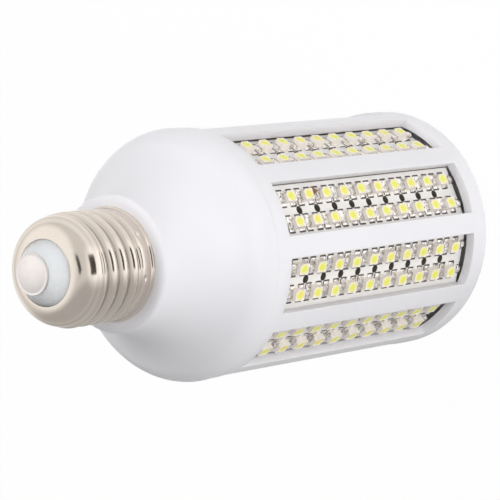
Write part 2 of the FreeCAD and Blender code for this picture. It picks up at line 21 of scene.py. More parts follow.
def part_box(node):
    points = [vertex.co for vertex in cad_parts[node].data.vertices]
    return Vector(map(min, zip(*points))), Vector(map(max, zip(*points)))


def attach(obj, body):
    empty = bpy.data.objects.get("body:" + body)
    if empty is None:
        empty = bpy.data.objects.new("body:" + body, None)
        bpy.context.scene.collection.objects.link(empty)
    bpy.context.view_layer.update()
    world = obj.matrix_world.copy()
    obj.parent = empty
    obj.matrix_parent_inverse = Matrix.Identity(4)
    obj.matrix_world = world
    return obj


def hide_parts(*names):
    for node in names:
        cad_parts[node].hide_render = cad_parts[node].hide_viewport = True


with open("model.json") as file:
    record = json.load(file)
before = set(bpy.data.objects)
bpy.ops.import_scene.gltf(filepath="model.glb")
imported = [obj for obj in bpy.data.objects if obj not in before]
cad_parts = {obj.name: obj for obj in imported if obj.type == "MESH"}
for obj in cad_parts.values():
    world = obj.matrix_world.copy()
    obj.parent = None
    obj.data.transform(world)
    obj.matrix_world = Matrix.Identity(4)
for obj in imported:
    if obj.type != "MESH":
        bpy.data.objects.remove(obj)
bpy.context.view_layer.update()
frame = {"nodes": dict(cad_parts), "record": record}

MM = 0.001
STRIPS = 10
ROWS = 2
LEDS_IN_A_ROW = 10

cage_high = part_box("cage")[1]
board_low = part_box("led_board_01")[0]
leds_low, leds_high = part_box("leds_01")
shell_low, shell_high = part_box("screw_shell")

body_radius = cage_high.x
seam = cage_high.z
board_face = -board_low.y
seat = shell_low.z
shell_top = shell_high.z

led_length = 3.5 * MM
led_width = 2.8 * MM
led_height = board_low.y - leds_low.y
first_led = leds_low.z + led_length / 2
last_led = leds_high.z - led_length / 2
led_pitch = (last_led - first_led) / (LEDS_IN_A_ROW - 1)
row_gap = leds_high.x - leds_low.x - led_width
print("body radius", round(body_radius / MM, 2), "seam", round(seam / MM, 2))
print("LED pitch", round(led_pitch / MM, 2), "row gap", round(row_gap / MM, 2))

# %% [markdown]
# ## The camera
#
# The picture was taken with a long lens from about 0.7 m away. The place of the camera
# was worked out from the ellipses of the cap, the straight sides of the cage and the
# rows of vent holes, so the object falls on the same pixels as in the picture. A camera
# can be aimed with a Track To constraint, but here it needs a roll as well, so its matrix
# is built from three simple moves: aim, roll, place.

# %% Aim the camera
PICTURE_WIDTH = 500
FOCAL_PIXELS = 2942.85
SENSOR_WIDTH = 36.0
CAMERA_PLACE = Vector((-114.835, -431.564, 622.434)) * MM
CAMERA_TARGET = Vector((-0.952, 0.380, 60.580)) * MM
CAMERA_ROLL = math.radians(-97.647)

camera_data = bpy.data.cameras.new("picture_camera")
camera_data.sensor_width = SENSOR_WIDTH
camera_data.lens = FOCAL_PIXELS / PICTURE_WIDTH * SENSOR_WIDTH
camera = bpy.data.objects.new("picture_camera", camera_data)
bpy.context.scene.collection.objects.link(camera)
aim = (CAMERA_TARGET - CAMERA_PLACE).to_track_quat("-Z", "Y").to_matrix().to_4x4()
camera.matrix_world = Matrix.Translation(CAMERA_PLACE) @ aim @ Matrix.Rotation(CAMERA_ROLL, 4, "Z")
bpy.context.scene.camera = camera
bpy.context.scene.view_settings.view_transform = "Standard"
print("lens", round(camera_data.lens, 1), "mm")

# %% [markdown]
# ## Sums written as sums
#
# A material that varies over its surface, or a shape that follows a formula, needs many
# small Math nodes. Adding them one by one hides the formula. The two classes below let
# the formula be written as plain Python: a Value stands for one output socket, and adding
# or multiplying two Values adds the Math node that does it.

# %% A socket that can be used in sums
class Value:
    """One output socket. Arithmetic on it adds Math nodes to the same tree."""

    def __init__(self, graph, socket):
        self.graph = graph
        self.socket = socket

    def out(self, name):
        """Another output of the same node."""
        return Value(self.graph, self.socket.node.outputs[name])

    def math(self, operation, *others):
        """A Math node with this socket as its first term."""
        terms = dict(enumerate((self,) + others))
        return self.graph.add("ShaderNodeMath", {"operation": operation}, terms)

    def reflected(self, operation, other):
        """A Math node with this socket as its second term, for sums such as 1 - mask."""
        return self.graph.add("ShaderNodeMath", {"operation": operation}, {0: other, 1: self})

    def __add__(self, other):
        return self.math("ADD", other)

    def __radd__(self, other):
        return self.reflected("ADD", other)

    def __sub__(self, other):
        return self.math("SUBTRACT", other)

    def __rsub__(self, other):
        return self.reflected("SUBTRACT", other)

    def __mul__(self, other):
        return self.math("MULTIPLY", other)

    def __rmul__(self, other):
        return self.reflected("MULTIPLY", other)

    def __truediv__(self, other):
        return self.math("DIVIDE", other)

    def __mod__(self, other):
        return self.math("FLOORED_MODULO", other)

    def floor(self):
        return self.math("FLOOR")

    def cosine(self):
        return self.math("COSINE")

    def sine(self):
        return self.math("SINE")

    def between(self, low, high):
        """Rises smoothly from 0 at low to 1 at high."""
        ends = {"Value": self, "From Min": low, "From Max": high}
        return self.graph.add("ShaderNodeMapRange", {"interpolation_type": "SMOOTHSTEP"}, ends)


class Graph:
    """A node tree, with one method that adds any node to it."""

    def __init__(self, tree):
        self.tree = tree

    def add(self, kind, settings=None, sockets=None, output=0):
        """Adds a node, sets it up, fills or links its sockets and returns one output."""
        node = self.tree.nodes.new(kind)
        for name, setting in (settings or {}).items():
            setattr(node, name, setting)
        for key, content in (sockets or {}).items():
            self.fill(node.inputs[key], content)
        return Value(self, node.outputs[output]) if node.outputs else node

    def fill(self, socket, content):
        """Links a Value to a socket, or sets a plain number or colour on it."""
        if isinstance(content, Value):
            self.tree.links.new(content.socket, socket)
        else:
            socket.default_value = content

    def noise(self, scale, detail=2.0, roughness=0.5, stretch=(1, 1, 1)):
        """Noise on the piece's own coordinates, in features per metre."""
        place = self.add("ShaderNodeTexCoord").out("Object")
        place = self.add("ShaderNodeMapping", None, {"Vector": place, "Scale": stretch})
        grain = {"Vector": place, "Scale": scale, "Detail": detail, "Roughness": roughness}
        return self.add("ShaderNodeTexNoise", None, grain)

    def blend(self, share, first, second):
        """A colour between two colours."""
        sockets = {"Factor": share, 6: first, 7: second}
        return self.add("ShaderNodeMix", {"data_type": "RGBA"}, sockets, 2)

    def bump(self, height, strength, distance):
        """A normal from a height, with the distance that the height stands for."""
        sockets = {"Height": height, "Strength": strength, "Distance": distance}
        return self.add("ShaderNodeBump", None, sockets)


def finish_of(name, paint):
    """A Principled material. paint(graph) gives what goes on its sockets."""
    material = bpy.data.materials.new(name)
    material.use_nodes = True
    graph = Graph(material.node_tree)
    shader = material.node_tree.nodes["Principled BSDF"]
    for key, content in paint(graph).items():
        graph.fill(shader.inputs[key], content)
    return material


print("sums ready")

# %% [markdown]
# ## White plastic
#
# The cage and the lower housing are moulded in a white plastic with a soft gloss. Moulded
# plastic is never quite even: its gloss drifts a little over the surface, and a very fine
# ripple breaks up reflections. Both come from noise on the piece's own coordinates.

# %% Make the white plastic
SHELL_WHITE = (0.83, 0.82, 0.85, 1)
SHELL_SHADE = (0.80, 0.79, 0.82, 1)
RIPPLE_HEIGHT = 0.05 * MM


def white_plastic(graph):
    drift = graph.noise(45, 3)
    ripple = graph.noise(900, 2)
    return {
        "Base Color": graph.blend(drift, SHELL_WHITE, SHELL_SHADE),
        "Roughness": 0.30 + 0.14 * drift,
        "Normal": graph.bump(ripple, 0.05, RIPPLE_HEIGHT),
    }


shell_plastic = finish_of("white_plastic", white_plastic)
print("made", shell_plastic.name)

# %% [markdown]
# ## Turned pieces
#
# The lower housing, the insulator and the contact are round about the bulb's axis. Each
# one is a half section that goes once round. Blender has a Screw modifier and a Spin
# operator for this, but a short loop gives full control of the poles: a point on the axis
# becomes one vertex, so no pole is left open.

# %% Turn a half section into a mesh
ROUND_STEPS = 160
ON_AXIS = 1e-9


def arc(centre, radius, start, end, steps):
    """Points of a half section along an arc; angles in degrees from the outward direction."""
    points = []
    for step in range(steps + 1):
        angle = math.radians(start + (end - start) * step / steps)
        points.append((centre[0] + radius * math.cos(angle), centre[1] + radius * math.sin(angle)))
    return points


def turned_mesh(name, section, closed=True, steps=ROUND_STEPS):
    """A mesh from a half section of (radius, height) points in metres."""
    shape = bmesh.new()
    rings = []
    for radius, height in section:
        if radius < ON_AXIS:
            rings.append([shape.verts.new((0, 0, height))])
            continue
        turns = [2 * math.pi * step / steps for step in range(steps)]
        rings.append([shape.verts.new((radius * math.cos(turn), radius * math.sin(turn), height))
                      for turn in turns])
    following = rings[1:] + (rings[:1] if closed else [])
    for lower, upper in zip(rings, following):
        for step in range(steps):
            corners = [lower[step % len(lower)], lower[(step + 1) % len(lower)],
                       upper[(step + 1) % len(upper)], upper[step % len(upper)]]
            corners = list(dict.fromkeys(corners))
            if len(corners) > 2:
                shape.faces.new(corners)
    bmesh.ops.recalc_face_normals(shape, faces=shape.faces)
    mesh = bpy.data.meshes.new(name)
    shape.to_mesh(mesh)
    shape.free()
    return mesh


def shade(mesh, crease=35):
    """Smooth shading that stops at edges sharper than the crease, in degrees."""
    mesh.polygons.foreach_set("use_smooth", [True] * len(mesh.polygons))
    mesh.set_sharp_from_angle(angle=math.radians(crease))


def put_on_bulb(name, mesh, material, nodes):
    """Makes a finished piece: it rides on the bulb's root and hides the nodes it dresses."""
    if material:
        mesh.materials.clear()
        mesh.materials.append(material)
    piece = bpy.data.objects.new(name, mesh)
    bpy.context.scene.collection.objects.link(piece)
    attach(piece, "root")
    if nodes:
        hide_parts(*nodes)
    print(name, len(mesh.polygons), "faces")
    return piece


print("turned pieces go round in", ROUND_STEPS, "steps")

# %% [markdown]
# ## The bell-shaped housing
#
# The housing starts as a shallow lip inside the cage. Its shoulder is a round arc that stands
# out from the cage by a hair, which is the crease seen round the bulb. A hollow arc takes over
# from it and narrows to the neck under the cap, and a post inside the cap carries the metal.
# Two arcs that touch need no fitting: the point where they meet lies on the line between their
# centres. The half section repeats the solid model's sizes.

# %% Turn the bell-shaped housing
BELL_ROUND = 7.6 * MM
BELL_PROUD = 0.2 * MM
BELL_DROP = 0.7 * MM
FLARE_ROUND = 20.4 * MM
NECK_RADIUS = 16.2 * MM
NECK_EDGE = 0.95 * MM
NECK_FLAT = 14.2 * MM
BELL_WALL = 1.6 * MM
RIM_SOFTNESS = 0.25 * MM
LIP_INSET = 2.5 * MM
LIP_WALL = 1.7 * MM
LIP_REACH = 1.5 * MM
POST_RADIUS = 11.8 * MM
POST_WALL = 1.5 * MM
POST_HEIGHT = 12.0 * MM
bell_axis = body_radius + BELL_PROUD - BELL_ROUND
bell_centre = seam - BELL_DROP
flare_axis = NECK_RADIUS + FLARE_ROUND
flare_height = seat - NECK_EDGE
lip_outer = body_radius - LIP_INSET
lip_inner = lip_outer - LIP_WALL
lip_foot = seam - LIP_REACH
lip_top = seam + LIP_REACH
post_bore = POST_RADIUS - POST_WALL
post_foot = seat - BELL_WALL
post_top = seat + POST_HEIGHT


def angle_up(rise, radius):
    """Degrees up from the outward direction at which a circle has risen that far."""
    return math.degrees(math.asin(rise / radius))


def housing_section():
    """Lip, shoulder, flare and neck outside, then the post, and the hollow back to the lip."""
    slope = math.degrees(math.atan2(flare_height - bell_centre, flare_axis - bell_axis))
    hollow, hollow_flare = BELL_ROUND - BELL_WALL, FLARE_ROUND + BELL_WALL
    rim_angle = angle_up(seam + RIM_SOFTNESS - bell_centre, BELL_ROUND)
    rim_across = bell_axis + BELL_ROUND * math.cos(math.radians(rim_angle))
    neck_angle = angle_up(flare_height - post_foot, hollow_flare)
    lip_angle = angle_up(lip_top - bell_centre, hollow)
    points = [(lip_inner, lip_foot), (lip_outer, lip_foot), (lip_outer, seam)]
    points += [(rim_across - RIM_SOFTNESS, seam)]
    points += arc((bell_axis, bell_centre), BELL_ROUND, rim_angle, slope, 24)
    points += arc((flare_axis, flare_height), FLARE_ROUND, 180 + slope, 180, 36)[1:]
    points += [(NECK_FLAT + (NECK_RADIUS - NECK_FLAT) * across, flare_height + NECK_EDGE * up)
               for across, up in arc((0, 0), 1, 0, 90, 12)[1:]]
    points += [(POST_RADIUS, seat), (POST_RADIUS, post_top), (post_bore, post_top)]
    points += [(post_bore, post_foot)]
    points += arc((flare_axis, flare_height), hollow_flare, 180 + neck_angle, 180 + slope, 24)
    points += arc((bell_axis, bell_centre), hollow, slope, lip_angle, 10)[1:]
    points += [(lip_inner, lip_top)]
    return points


housing_mesh = turned_mesh("bell_housing", housing_section())
shade(housing_mesh)
put_on_bulb("bell_housing", housing_mesh, shell_plastic, ["lower_housing"])

# %% [markdown]
# ## The cage
#
# The cage is one moulding: a round wall with a closed end and ten windows. Cutting the
# windows with booleans would leave long thin triangles that shade badly. Instead one tenth
# of the wall is drawn as a grid with a hole in it, and Geometry Nodes set ten of these round
# the axis and weld them. A bevel then rounds every edge a little, as a mould does.

# %% Draw one tenth of the cage
WINDOW_WIDTH = 13.3 * MM
WINDOW_FOOT = 7.3 * MM
WINDOW_MARGIN = 5.0 * MM
CAGE_WALL = 2.4 * MM
END_THICKNESS = 2.0 * MM
END_EDGE = 2.5 * MM
BOSS_RADIUS = 10.0 * MM
BOSS_BORE = 8.0 * MM
BOSS_TOP = 7.5 * MM
WINDOW_COLUMNS = 12
RIB_COLUMNS = 3
window_top = seam - WINDOW_MARGIN
cage_bore = body_radius - CAGE_WALL


def cage_section():
    """The half section, from the middle of the end round the wall to the middle inside."""
    points = [(0, 0), (body_radius / 2, 0)]
    points += arc((body_radius - END_EDGE, END_EDGE), END_EDGE, -90, 0, 8)
    points += [(body_radius, WINDOW_FOOT), (body_radius, window_top), (body_radius, seam)]
    points += [(cage_bore, seam), (cage_bore, window_top), (cage_bore, WINDOW_FOOT)]
    points += [(cage_bore, END_THICKNESS), (BOSS_RADIUS, END_THICKNESS), (BOSS_RADIUS, BOSS_TOP)]
    points += [(BOSS_BORE, BOSS_TOP), (BOSS_BORE, END_THICKNESS), (0, END_THICKNESS)]
    return points


def column_angles(radius):
    """Angles of the grid's columns, so that the window has parallel sides at any radius."""
    half_share = math.pi / STRIPS
    edge = math.asin(WINDOW_WIDTH / 2 / max(radius, cage_bore))
    rib = [edge + (half_share - edge) * step / RIB_COLUMNS for step in range(1, RIB_COLUMNS + 1)]
    window = [edge * (2 * step / WINDOW_COLUMNS - 1) for step in range(WINDOW_COLUMNS + 1)]
    return [-angle for angle in reversed(rib)] + window + rib


def cage_tenth():
    """A grid on the half section, open at the window, with the window's four sides closed."""
    shape = bmesh.new()
    section = cage_section()
    columns = 2 * RIB_COLUMNS + WINDOW_COLUMNS
    rows = []
    for radius, height in section:
        if radius == 0:
            rows.append([shape.verts.new((0, 0, height))] * (columns + 1))
            continue
        rows.append([shape.verts.new((radius * math.sin(angle), -radius * math.cos(angle), height))
                     for angle in column_angles(radius)])
    outer = section.index((body_radius, WINDOW_FOOT))
    inner = section.index((cage_bore, window_top))
    left, right = RIB_COLUMNS, RIB_COLUMNS + WINDOW_COLUMNS
    for row in range(len(rows) - 1):
        for column in range(columns):
            if row in (outer, inner) and left <= column < right:
                continue
            corners = [rows[row][column], rows[row][column + 1],
                       rows[row + 1][column + 1], rows[row + 1][column]]
            shape.faces.new(list(dict.fromkeys(corners)))
    for column in range(left, right):
        for wall, lining in ((outer, inner + 1), (outer + 1, inner)):
            shape.faces.new([rows[wall][column], rows[wall][column + 1],
                             rows[lining][column + 1], rows[lining][column]])
    for column in (left, right):
        shape.faces.new([rows[outer][column], rows[outer + 1][column],
                         rows[inner][column], rows[inner + 1][column]])
    mesh = bpy.data.meshes.new("cage_tenth")
    shape.to_mesh(mesh)
    shape.free()
    return mesh


tenth = bpy.data.objects.new("cage_tenth", cage_tenth())
print("one tenth has", len(tenth.data.polygons), "faces")

# %% [markdown]
# Ten copies make the cage. An Array modifier could turn them round an empty object, but a
# geometry tree keeps the count, the copy and the weld as named inputs, and a later piece can
# use the same way of building trees. A tree runs once, and its result is kept as a plain mesh.

# %% Set pieces round the axis with Geometry Nodes
WELD = 0.002 * MM


def new_tree(name, inputs):
    """A geometry tree with named inputs. Returns its graph and the node that gives the inputs."""
    tree = bpy.data.node_groups.new(name, "GeometryNodeTree")
    for label, kind in inputs:
        tree.interface.new_socket(name=label, in_out="INPUT", socket_type="NodeSocket" + kind)
    tree.interface.new_socket(name="Geometry", in_out="OUTPUT", socket_type="NodeSocketGeometry")
    graph = Graph(tree)
    return graph, graph.add("NodeGroupInput")


def close_tree(graph, geometry):
    """Sends the finished geometry out of the tree."""
    graph.add("NodeGroupOutput", None, {"Geometry": geometry})
    return graph.tree


def run_tree(name, tree, values):
    """Runs a tree once and returns its result as a plain mesh."""
    holder = bpy.data.objects.new(name, bpy.data.meshes.new(name))
    bpy.context.scene.collection.objects.link(holder)
    modifier = holder.modifiers.new("shape", "NODES")
    modifier.node_group = tree
    for item in tree.interface.items_tree:
        if item.in_out == "INPUT" and item.name in values:
            modifier[item.identifier] = values[item.name]
    bpy.context.view_layer.update()
    seen = holder.evaluated_get(bpy.context.evaluated_depsgraph_get())
    mesh = bpy.data.meshes.new_from_object(seen)
    mesh.name = name
    bpy.data.objects.remove(holder)
    return mesh


def ring_tree():
    """Copies of one object, turned evenly round the axis and welded where they meet."""
    graph, given = new_tree("ring_of_copies", [
        ("Count", "Int"), ("Copy", "Object"), ("Weld", "Float"), ("Material", "Material")])
    points = graph.add("GeometryNodePoints", None, {"Count": given.out("Count")})
    number = graph.add("GeometryNodeInputIndex")
    turn = graph.add("ShaderNodeCombineXYZ", None,
                     {"Z": number * (2 * math.pi) / given.out("Count")})
    copy = graph.add("GeometryNodeObjectInfo", None, {"Object": given.out("Copy")}).out("Geometry")
    ring = graph.add("GeometryNodeInstanceOnPoints", None,
                     {"Points": points, "Instance": copy, "Rotation": turn})
    solid = graph.add("GeometryNodeRealizeInstances", None, {"Geometry": ring})
    solid = graph.add("GeometryNodeMergeByDistance", None,
                      {"Geometry": solid, "Distance": given.out("Weld")})
    solid = graph.add("GeometryNodeSetMaterial", None,
                      {"Geometry": solid, "Material": given.out("Material")})
    return close_tree(graph, solid)


ring_of_copies = ring_tree()
cage_mesh = run_tree("window_cage", ring_of_copies, {
    "Count": STRIPS, "Copy": tenth, "Weld": WELD, "Material": shell_plastic})
bpy.data.objects.remove(tenth)
print("cage has", len(cage_mesh.polygons), "faces")

# %% [markdown]
# A mould leaves no knife edges. A narrow bevel on the sharp edges alone catches the light
# along the windows. It is made in the mesh and not by a modifier, so that the piece is
# finished before it joins the bulb.

# %% Round the edges of the cage
MOULD_EDGE = 0.22 * MM


def softened(mesh, width, segments=2, limit=50):
    """The mesh with every edge sharper than the limit rounded."""
    shape = bmesh.new()
    shape.from_mesh(mesh)
    bmesh.ops.recalc_face_normals(shape, faces=shape.faces)
    sharp = [edge for edge in shape.edges
             if len(edge.link_faces) == 2 and edge.calc_face_angle() > math.radians(limit)]
    bmesh.ops.bevel(shape, geom=sharp, offset=width, offset_type="OFFSET", segments=segments,
                    profile=0.5, affect="EDGES", clamp_overlap=True)
    shape.to_mesh(mesh)
    shape.free()
    return mesh


softened(cage_mesh, MOULD_EDGE)
shade(cage_mesh)
put_on_bulb("window_cage", cage_mesh, None, ["cage"])

# %% [markdown]
# ## Nickel plate
#
# The screw shell is thin sheet brass with a bright nickel plate. Nickel is a little warmer
# than chrome. Handling leaves faint smudges, so the roughness drifts, and rolling the thread
# leaves fine marks that run round the shell. The roots of the thread and the middles of the
# punch marks are painted dark, as painted shade in these hollows, and the shell carries how
# deep each point lies for that.

# %% Make the metals
NICKEL = (0.80, 0.715, 0.64, 1)
NICKEL_DULL = (0.70, 0.63, 0.55, 1)
NICKEL_GROOVE_SHADE = (0.24, 0.20, 0.165, 1)
GROOVE_SHADE_SHARE = 0.65
GROOVE_SHADE_START = 0.5
ROLLED_STRETCH = (0.2, 0.2, 3.0)
CONTACT = (0.88, 0.83, 0.81, 1)
CONTACT_DULL = (0.80, 0.75, 0.73, 1)
SOLDER = (0.95, 0.92, 0.89, 1)
SOLDER_DULL = (0.66, 0.61, 0.56, 1)
SOLDER_WAVE = 0.5 * MM


def nickel_plate(graph):
    smudge = graph.noise(160, 4, 0.6)
    rolled = graph.noise(700, 2, stretch=ROLLED_STRETCH)
    groove = graph.add("ShaderNodeAttribute", {"attribute_name": "groove"}).out("Fac")
    plate = graph.blend(smudge, NICKEL, NICKEL_DULL)
    # Painted shade: darkest in the roots of the thread and the middles of the punch marks.
    painted_hollow_shade = GROOVE_SHADE_SHARE * groove.between(GROOVE_SHADE_START, 1.0)
    return {
        "Base Color": graph.blend(painted_hollow_shade, plate, NICKEL_GROOVE_SHADE),
        "Metallic": 1.0,
        "Roughness": 0.09 + 0.14 * smudge,
        "Normal": graph.bump(rolled, 0.04, RIPPLE_HEIGHT),
    }


def satin_contact(graph):
    smudge = graph.noise(400, 4, 0.6)
    return {
        "Base Color": graph.blend(smudge, CONTACT, CONTACT_DULL),
        "Metallic": 1.0,
        "Roughness": 0.32 + 0.12 * smudge,
        "Normal": graph.bump(smudge, 0.05, RIPPLE_HEIGHT),
    }


def bright_solder(graph):
    patch = graph.noise(900, 3, 0.6)
    return {
        "Base Color": graph.blend(patch.between(0.35, 0.65), SOLDER, SOLDER_DULL),
        "Metallic": 1.0,
        "Roughness": 0.06 + 0.12 * patch,
        "Normal": graph.bump(graph.noise(800, 1), 1.0, SOLDER_WAVE),
    }


nickel = finish_of("nickel_plate", nickel_plate)
contact_metal = finish_of("satin_contact", satin_contact)
solder = finish_of("bright_solder", bright_solder)
print("made three metals")

# %% [markdown]
# ## The screw shell
#
# The thread of a lamp cap is rolled, so its section has no sharp edge: a blunt arc on the
# crest runs into a tighter one in the root. Arcs along a helix are a rule, and a grid bent by
# that rule in Geometry Nodes gives it exactly: each point knows its height and its angle,
# and the radius follows from both. The thread dies out at both ends, where it runs into the
# plain skirt and the shoulder. Small punch marks fix the skirt to the plastic, and the same
# formula dents them in.

# %% Bend a grid into a rolled thread
CREST_RADIUS = 13.2 * MM
THREAD_DEPTH = 1.05 * MM
THREAD_PITCH = 3.629 * MM
CREST_SHARE = 0.78
SKIRT_RADIUS = 13.0 * MM
SHOULDER_RADIUS = 12.7 * MM
RIM_RADIUS = 13.45 * MM
RIM_HEIGHT = 1.2 * MM
SKIRT_HEIGHT = 3.0 * MM
SHOULDER_ROUND = 5.0 * MM
RUN_IN = 2.4 * MM
RUN_OUT = 1.0 * MM
PUNCH_MARKS = 8
PUNCH_TURN = 0.25
PUNCH_LIFT = 2.8 * MM
PUNCH_DENT = 0.72 * MM
PUNCH_PIT_SHADE = 0.36 * MM
PUNCH_DEPTH = 0.3 * MM
GRID_AROUND = 240
GRID_ALONG = 220
skirt_foot = seat + RIM_HEIGHT
thread_top = shell_top - SHOULDER_ROUND


def rolled_radius(given, turn, height):
    """Radius of the thread at a point: a blunt arc on the crest, a tighter one in the root."""
    pitch, depth = given.out("Pitch"), given.out("Depth")
    half, blunt = pitch / 2, given.out("Crest Share")
    from_crest = ((height / pitch - turn + 0.5) % 1 - 0.5).math("ABSOLUTE") * pitch
    in_root = from_crest.math("GREATER_THAN", half * blunt)
    from_turn = from_crest + in_root * (half - 2 * from_crest)
    both_bends = (half * half + depth * depth) / (2 * depth)
    bend = both_bends * (blunt + in_root * (1 - 2 * blunt))
    rounded = bend - (bend * bend - from_turn * from_turn).math("SQRT")
    return given.out("Crest") - rounded - in_root * (depth - 2 * rounded)


def from_punch_mark(given, turn, height):
    """Distance over the skirt to the middle of the nearest punch mark."""
    nearest = (turn * given.out("Marks") + given.out("Mark Turn")) % 1 - 0.5
    aside = nearest / given.out("Marks") * (2 * math.pi) * given.out("Skirt")
    above = height - given.out("Mark Height")
    return (aside * aside + above * above).math("SQRT")


def thread_tree():
    """A grid whose X becomes the angle and whose Y becomes the height of a threaded wall."""
    graph, given = new_tree("rolled_thread", [
        ("Around", "Int"), ("Along", "Int"), ("Foot", "Float"), ("Top", "Float"),
        ("Crest", "Float"), ("Depth", "Float"), ("Pitch", "Float"), ("Crest Share", "Float"),
        ("Skirt", "Float"), ("Skirt Top", "Float"), ("Shoulder", "Float"),
        ("Run In", "Float"), ("Run Out", "Float"), ("Marks", "Int"), ("Mark Turn", "Float"),
        ("Mark Height", "Float"), ("Mark Dent", "Float"), ("Mark Pit", "Float"),
        ("Mark Depth", "Float"), ("Weld", "Float"), ("Material", "Material")])
    grid = graph.add("GeometryNodeMeshGrid", None, {
        "Size X": 1.0, "Size Y": 1.0,
        "Vertices X": given.out("Around"), "Vertices Y": given.out("Along")})
    place = graph.add("GeometryNodeInputPosition")
    split = graph.add("ShaderNodeSeparateXYZ", None, {"Vector": place})
    turn = split.out("X") + 0.5
    foot, top = given.out("Foot"), given.out("Top")
    height = foot + (split.out("Y") + 0.5) * (top - foot)
    angle = turn * (2 * math.pi)
    thread = rolled_radius(given, turn, height)
    starts = height.between(given.out("Skirt Top"), given.out("Skirt Top") + given.out("Run In"))
    ends = height.between(top - given.out("Run Out"), top)
    plain = given.out("Skirt") + ends * (given.out("Shoulder") - given.out("Skirt"))
    share = starts * (1 - ends)
    away = from_punch_mark(given, turn, height)
    dent = 1 - away.between(0.0, given.out("Mark Dent"))
    pit_shade = 1 - away.between(0.0, given.out("Mark Pit"))
    radius = plain + share * (thread - plain) - given.out("Mark Depth") * dent
    # How deep the thread goes here, plus the middles of the punch marks; the nickel paints shade from
    # it.
    groove = share * (given.out("Crest") - thread) / given.out("Depth") + pit_shade
    bent = graph.add("ShaderNodeCombineXYZ", None, {
        "X": radius * angle.cosine(), "Y": radius * angle.sine(), "Z": height})
    wall = graph.add("GeometryNodeStoreNamedAttribute", {"data_type": "FLOAT", "domain": "POINT"},
                     {"Geometry": grid, "Name": "groove", "Value": groove})
    wall = graph.add("GeometryNodeSetPosition", None, {"Geometry": wall, "Position": bent})
    wall = graph.add("GeometryNodeMergeByDistance", None,
                     {"Geometry": wall, "Distance": given.out("Weld")})
    wall = graph.add("GeometryNodeSetMaterial", None,
                     {"Geometry": wall, "Material": given.out("Material")})
    return close_tree(graph, wall)


thread_mesh = run_tree("rolled_thread", thread_tree(), {
    "Around": GRID_AROUND + 1, "Along": GRID_ALONG, "Foot": skirt_foot, "Top": thread_top,
    "Crest": CREST_RADIUS, "Depth": THREAD_DEPTH, "Pitch": THREAD_PITCH, "Crest Share": CREST_SHARE,
    "Skirt": SKIRT_RADIUS, "Skirt Top": seat + SKIRT_HEIGHT, "Shoulder": SHOULDER_RADIUS,
    "Run In": RUN_IN, "Run Out": RUN_OUT, "Marks": PUNCH_MARKS, "Mark Turn": PUNCH_TURN,
    "Mark Height": seat + PUNCH_LIFT, "Mark Dent": PUNCH_DENT, "Mark Pit": PUNCH_PIT_SHADE,
    "Mark Depth": PUNCH_DEPTH, "Weld": WELD, "Material": nickel})
print("thread has", len(thread_mesh.polygons), "faces")

# %% [markdown]
# The bent grid is the threaded wall alone. The sheet goes on over a round shoulder to the
# mouth, back down inside as a plain lining, and out to a lip that flares on the plastic. That
# is a turned piece, welded to the thread along both of its ends.

# %% Close the shell with its lip, shoulder and lining
SHEET = 0.3 * MM
MOUTH_RADIUS = 7.7 * MM
SHELL_BORE = 11.9 * MM
lip_round = SHEET / 2


def shell_rest():
    """The rest of the half section: over the shoulder, back inside and out to the flared lip."""
    reach, rise = RIM_RADIUS - SKIRT_RADIUS, RIM_HEIGHT - SHEET
    flare = (reach ** 2 + rise ** 2) / (2 * reach)
    points = arc((MOUTH_RADIUS, thread_top), SHOULDER_ROUND, 0, 90, 24)
    points += arc((MOUTH_RADIUS, thread_top), SHOULDER_ROUND - SHEET, 90, 0, 12)
    points += [(SHELL_BORE, thread_top), (SHELL_BORE, seat)]
    points += arc((RIM_RADIUS - lip_round, seat + lip_round), lip_round, -90, 0, 4)
    points += arc((SKIRT_RADIUS + flare, skirt_foot), flare, 180 + angle_up(rise, flare), 180, 8)
    return points


def joined(name, meshes):
    """Several meshes in one, welded where they meet."""
    shape = bmesh.new()
    for mesh in meshes:
        shape.from_mesh(mesh)
    bmesh.ops.remove_doubles(shape, verts=shape.verts, dist=WELD)
    bmesh.ops.recalc_face_normals(shape, faces=shape.faces)
    mesh = bpy.data.meshes.new(name)
    shape.to_mesh(mesh)
    shape.free()
    return mesh


rest_mesh = turned_mesh("rest", shell_rest(), closed=False, steps=GRID_AROUND)
shell_mesh = joined("screw_cap_shell", [thread_mesh, rest_mesh])
shade(shell_mesh, crease=50)
put_on_bulb("screw_cap_shell", shell_mesh, nickel, ["screw_shell"])

# %% [markdown]
# ## Insulator and contact
#
# A pale insulator fills the mouth of the shell and rises as a low cone to the centre
# contact, a domed button pressed from soft metal. Both are turned, with rounded edges.

# %% Make the insulator's finish and turn both pieces
INSULATOR = (0.78, 0.80, 0.81, 1)
INSULATOR_SHADE = (0.72, 0.74, 0.76, 1)
LIGHT_DEPTH = 4.0 * MM


def pale_insulator(graph):
    cloud = graph.noise(180, 3)
    return {
        "Base Color": graph.blend(cloud, INSULATOR, INSULATOR_SHADE),
        "Roughness": 0.22 + 0.12 * cloud,
        "Subsurface Weight": 0.6,
        "Subsurface Radius": (1, 1, 1),
        "Subsurface Scale": LIGHT_DEPTH,
        "Normal": graph.bump(graph.noise(1200), 0.04, RIPPLE_HEIGHT),
    }


insulator_finish = finish_of("pale_insulator", pale_insulator)
contact_low, contact_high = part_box("centre_contact")
tip = contact_high.z
contact_radius = contact_high.x
CONTACT_DOME = 0.75 * MM
CONTACT_EDGE = 0.25 * MM
CONTACT_EDGE_TURN = 70
CONTACT_DOME_INSET = 1
CONTACT_MARGIN = 0.15 * MM
INSULATOR_GAP = 0.1 * MM
STEM_RADIUS = 2.0 * MM
STEM_HOLE = 2.1 * MM
contact_seat = tip - CONTACT_DOME - CONTACT_EDGE
contact_ball = (contact_radius ** 2 + CONTACT_DOME ** 2) / (2 * CONTACT_DOME)
insulator_neck = MOUTH_RADIUS - INSULATOR_GAP
insulator_top = contact_radius + CONTACT_MARGIN


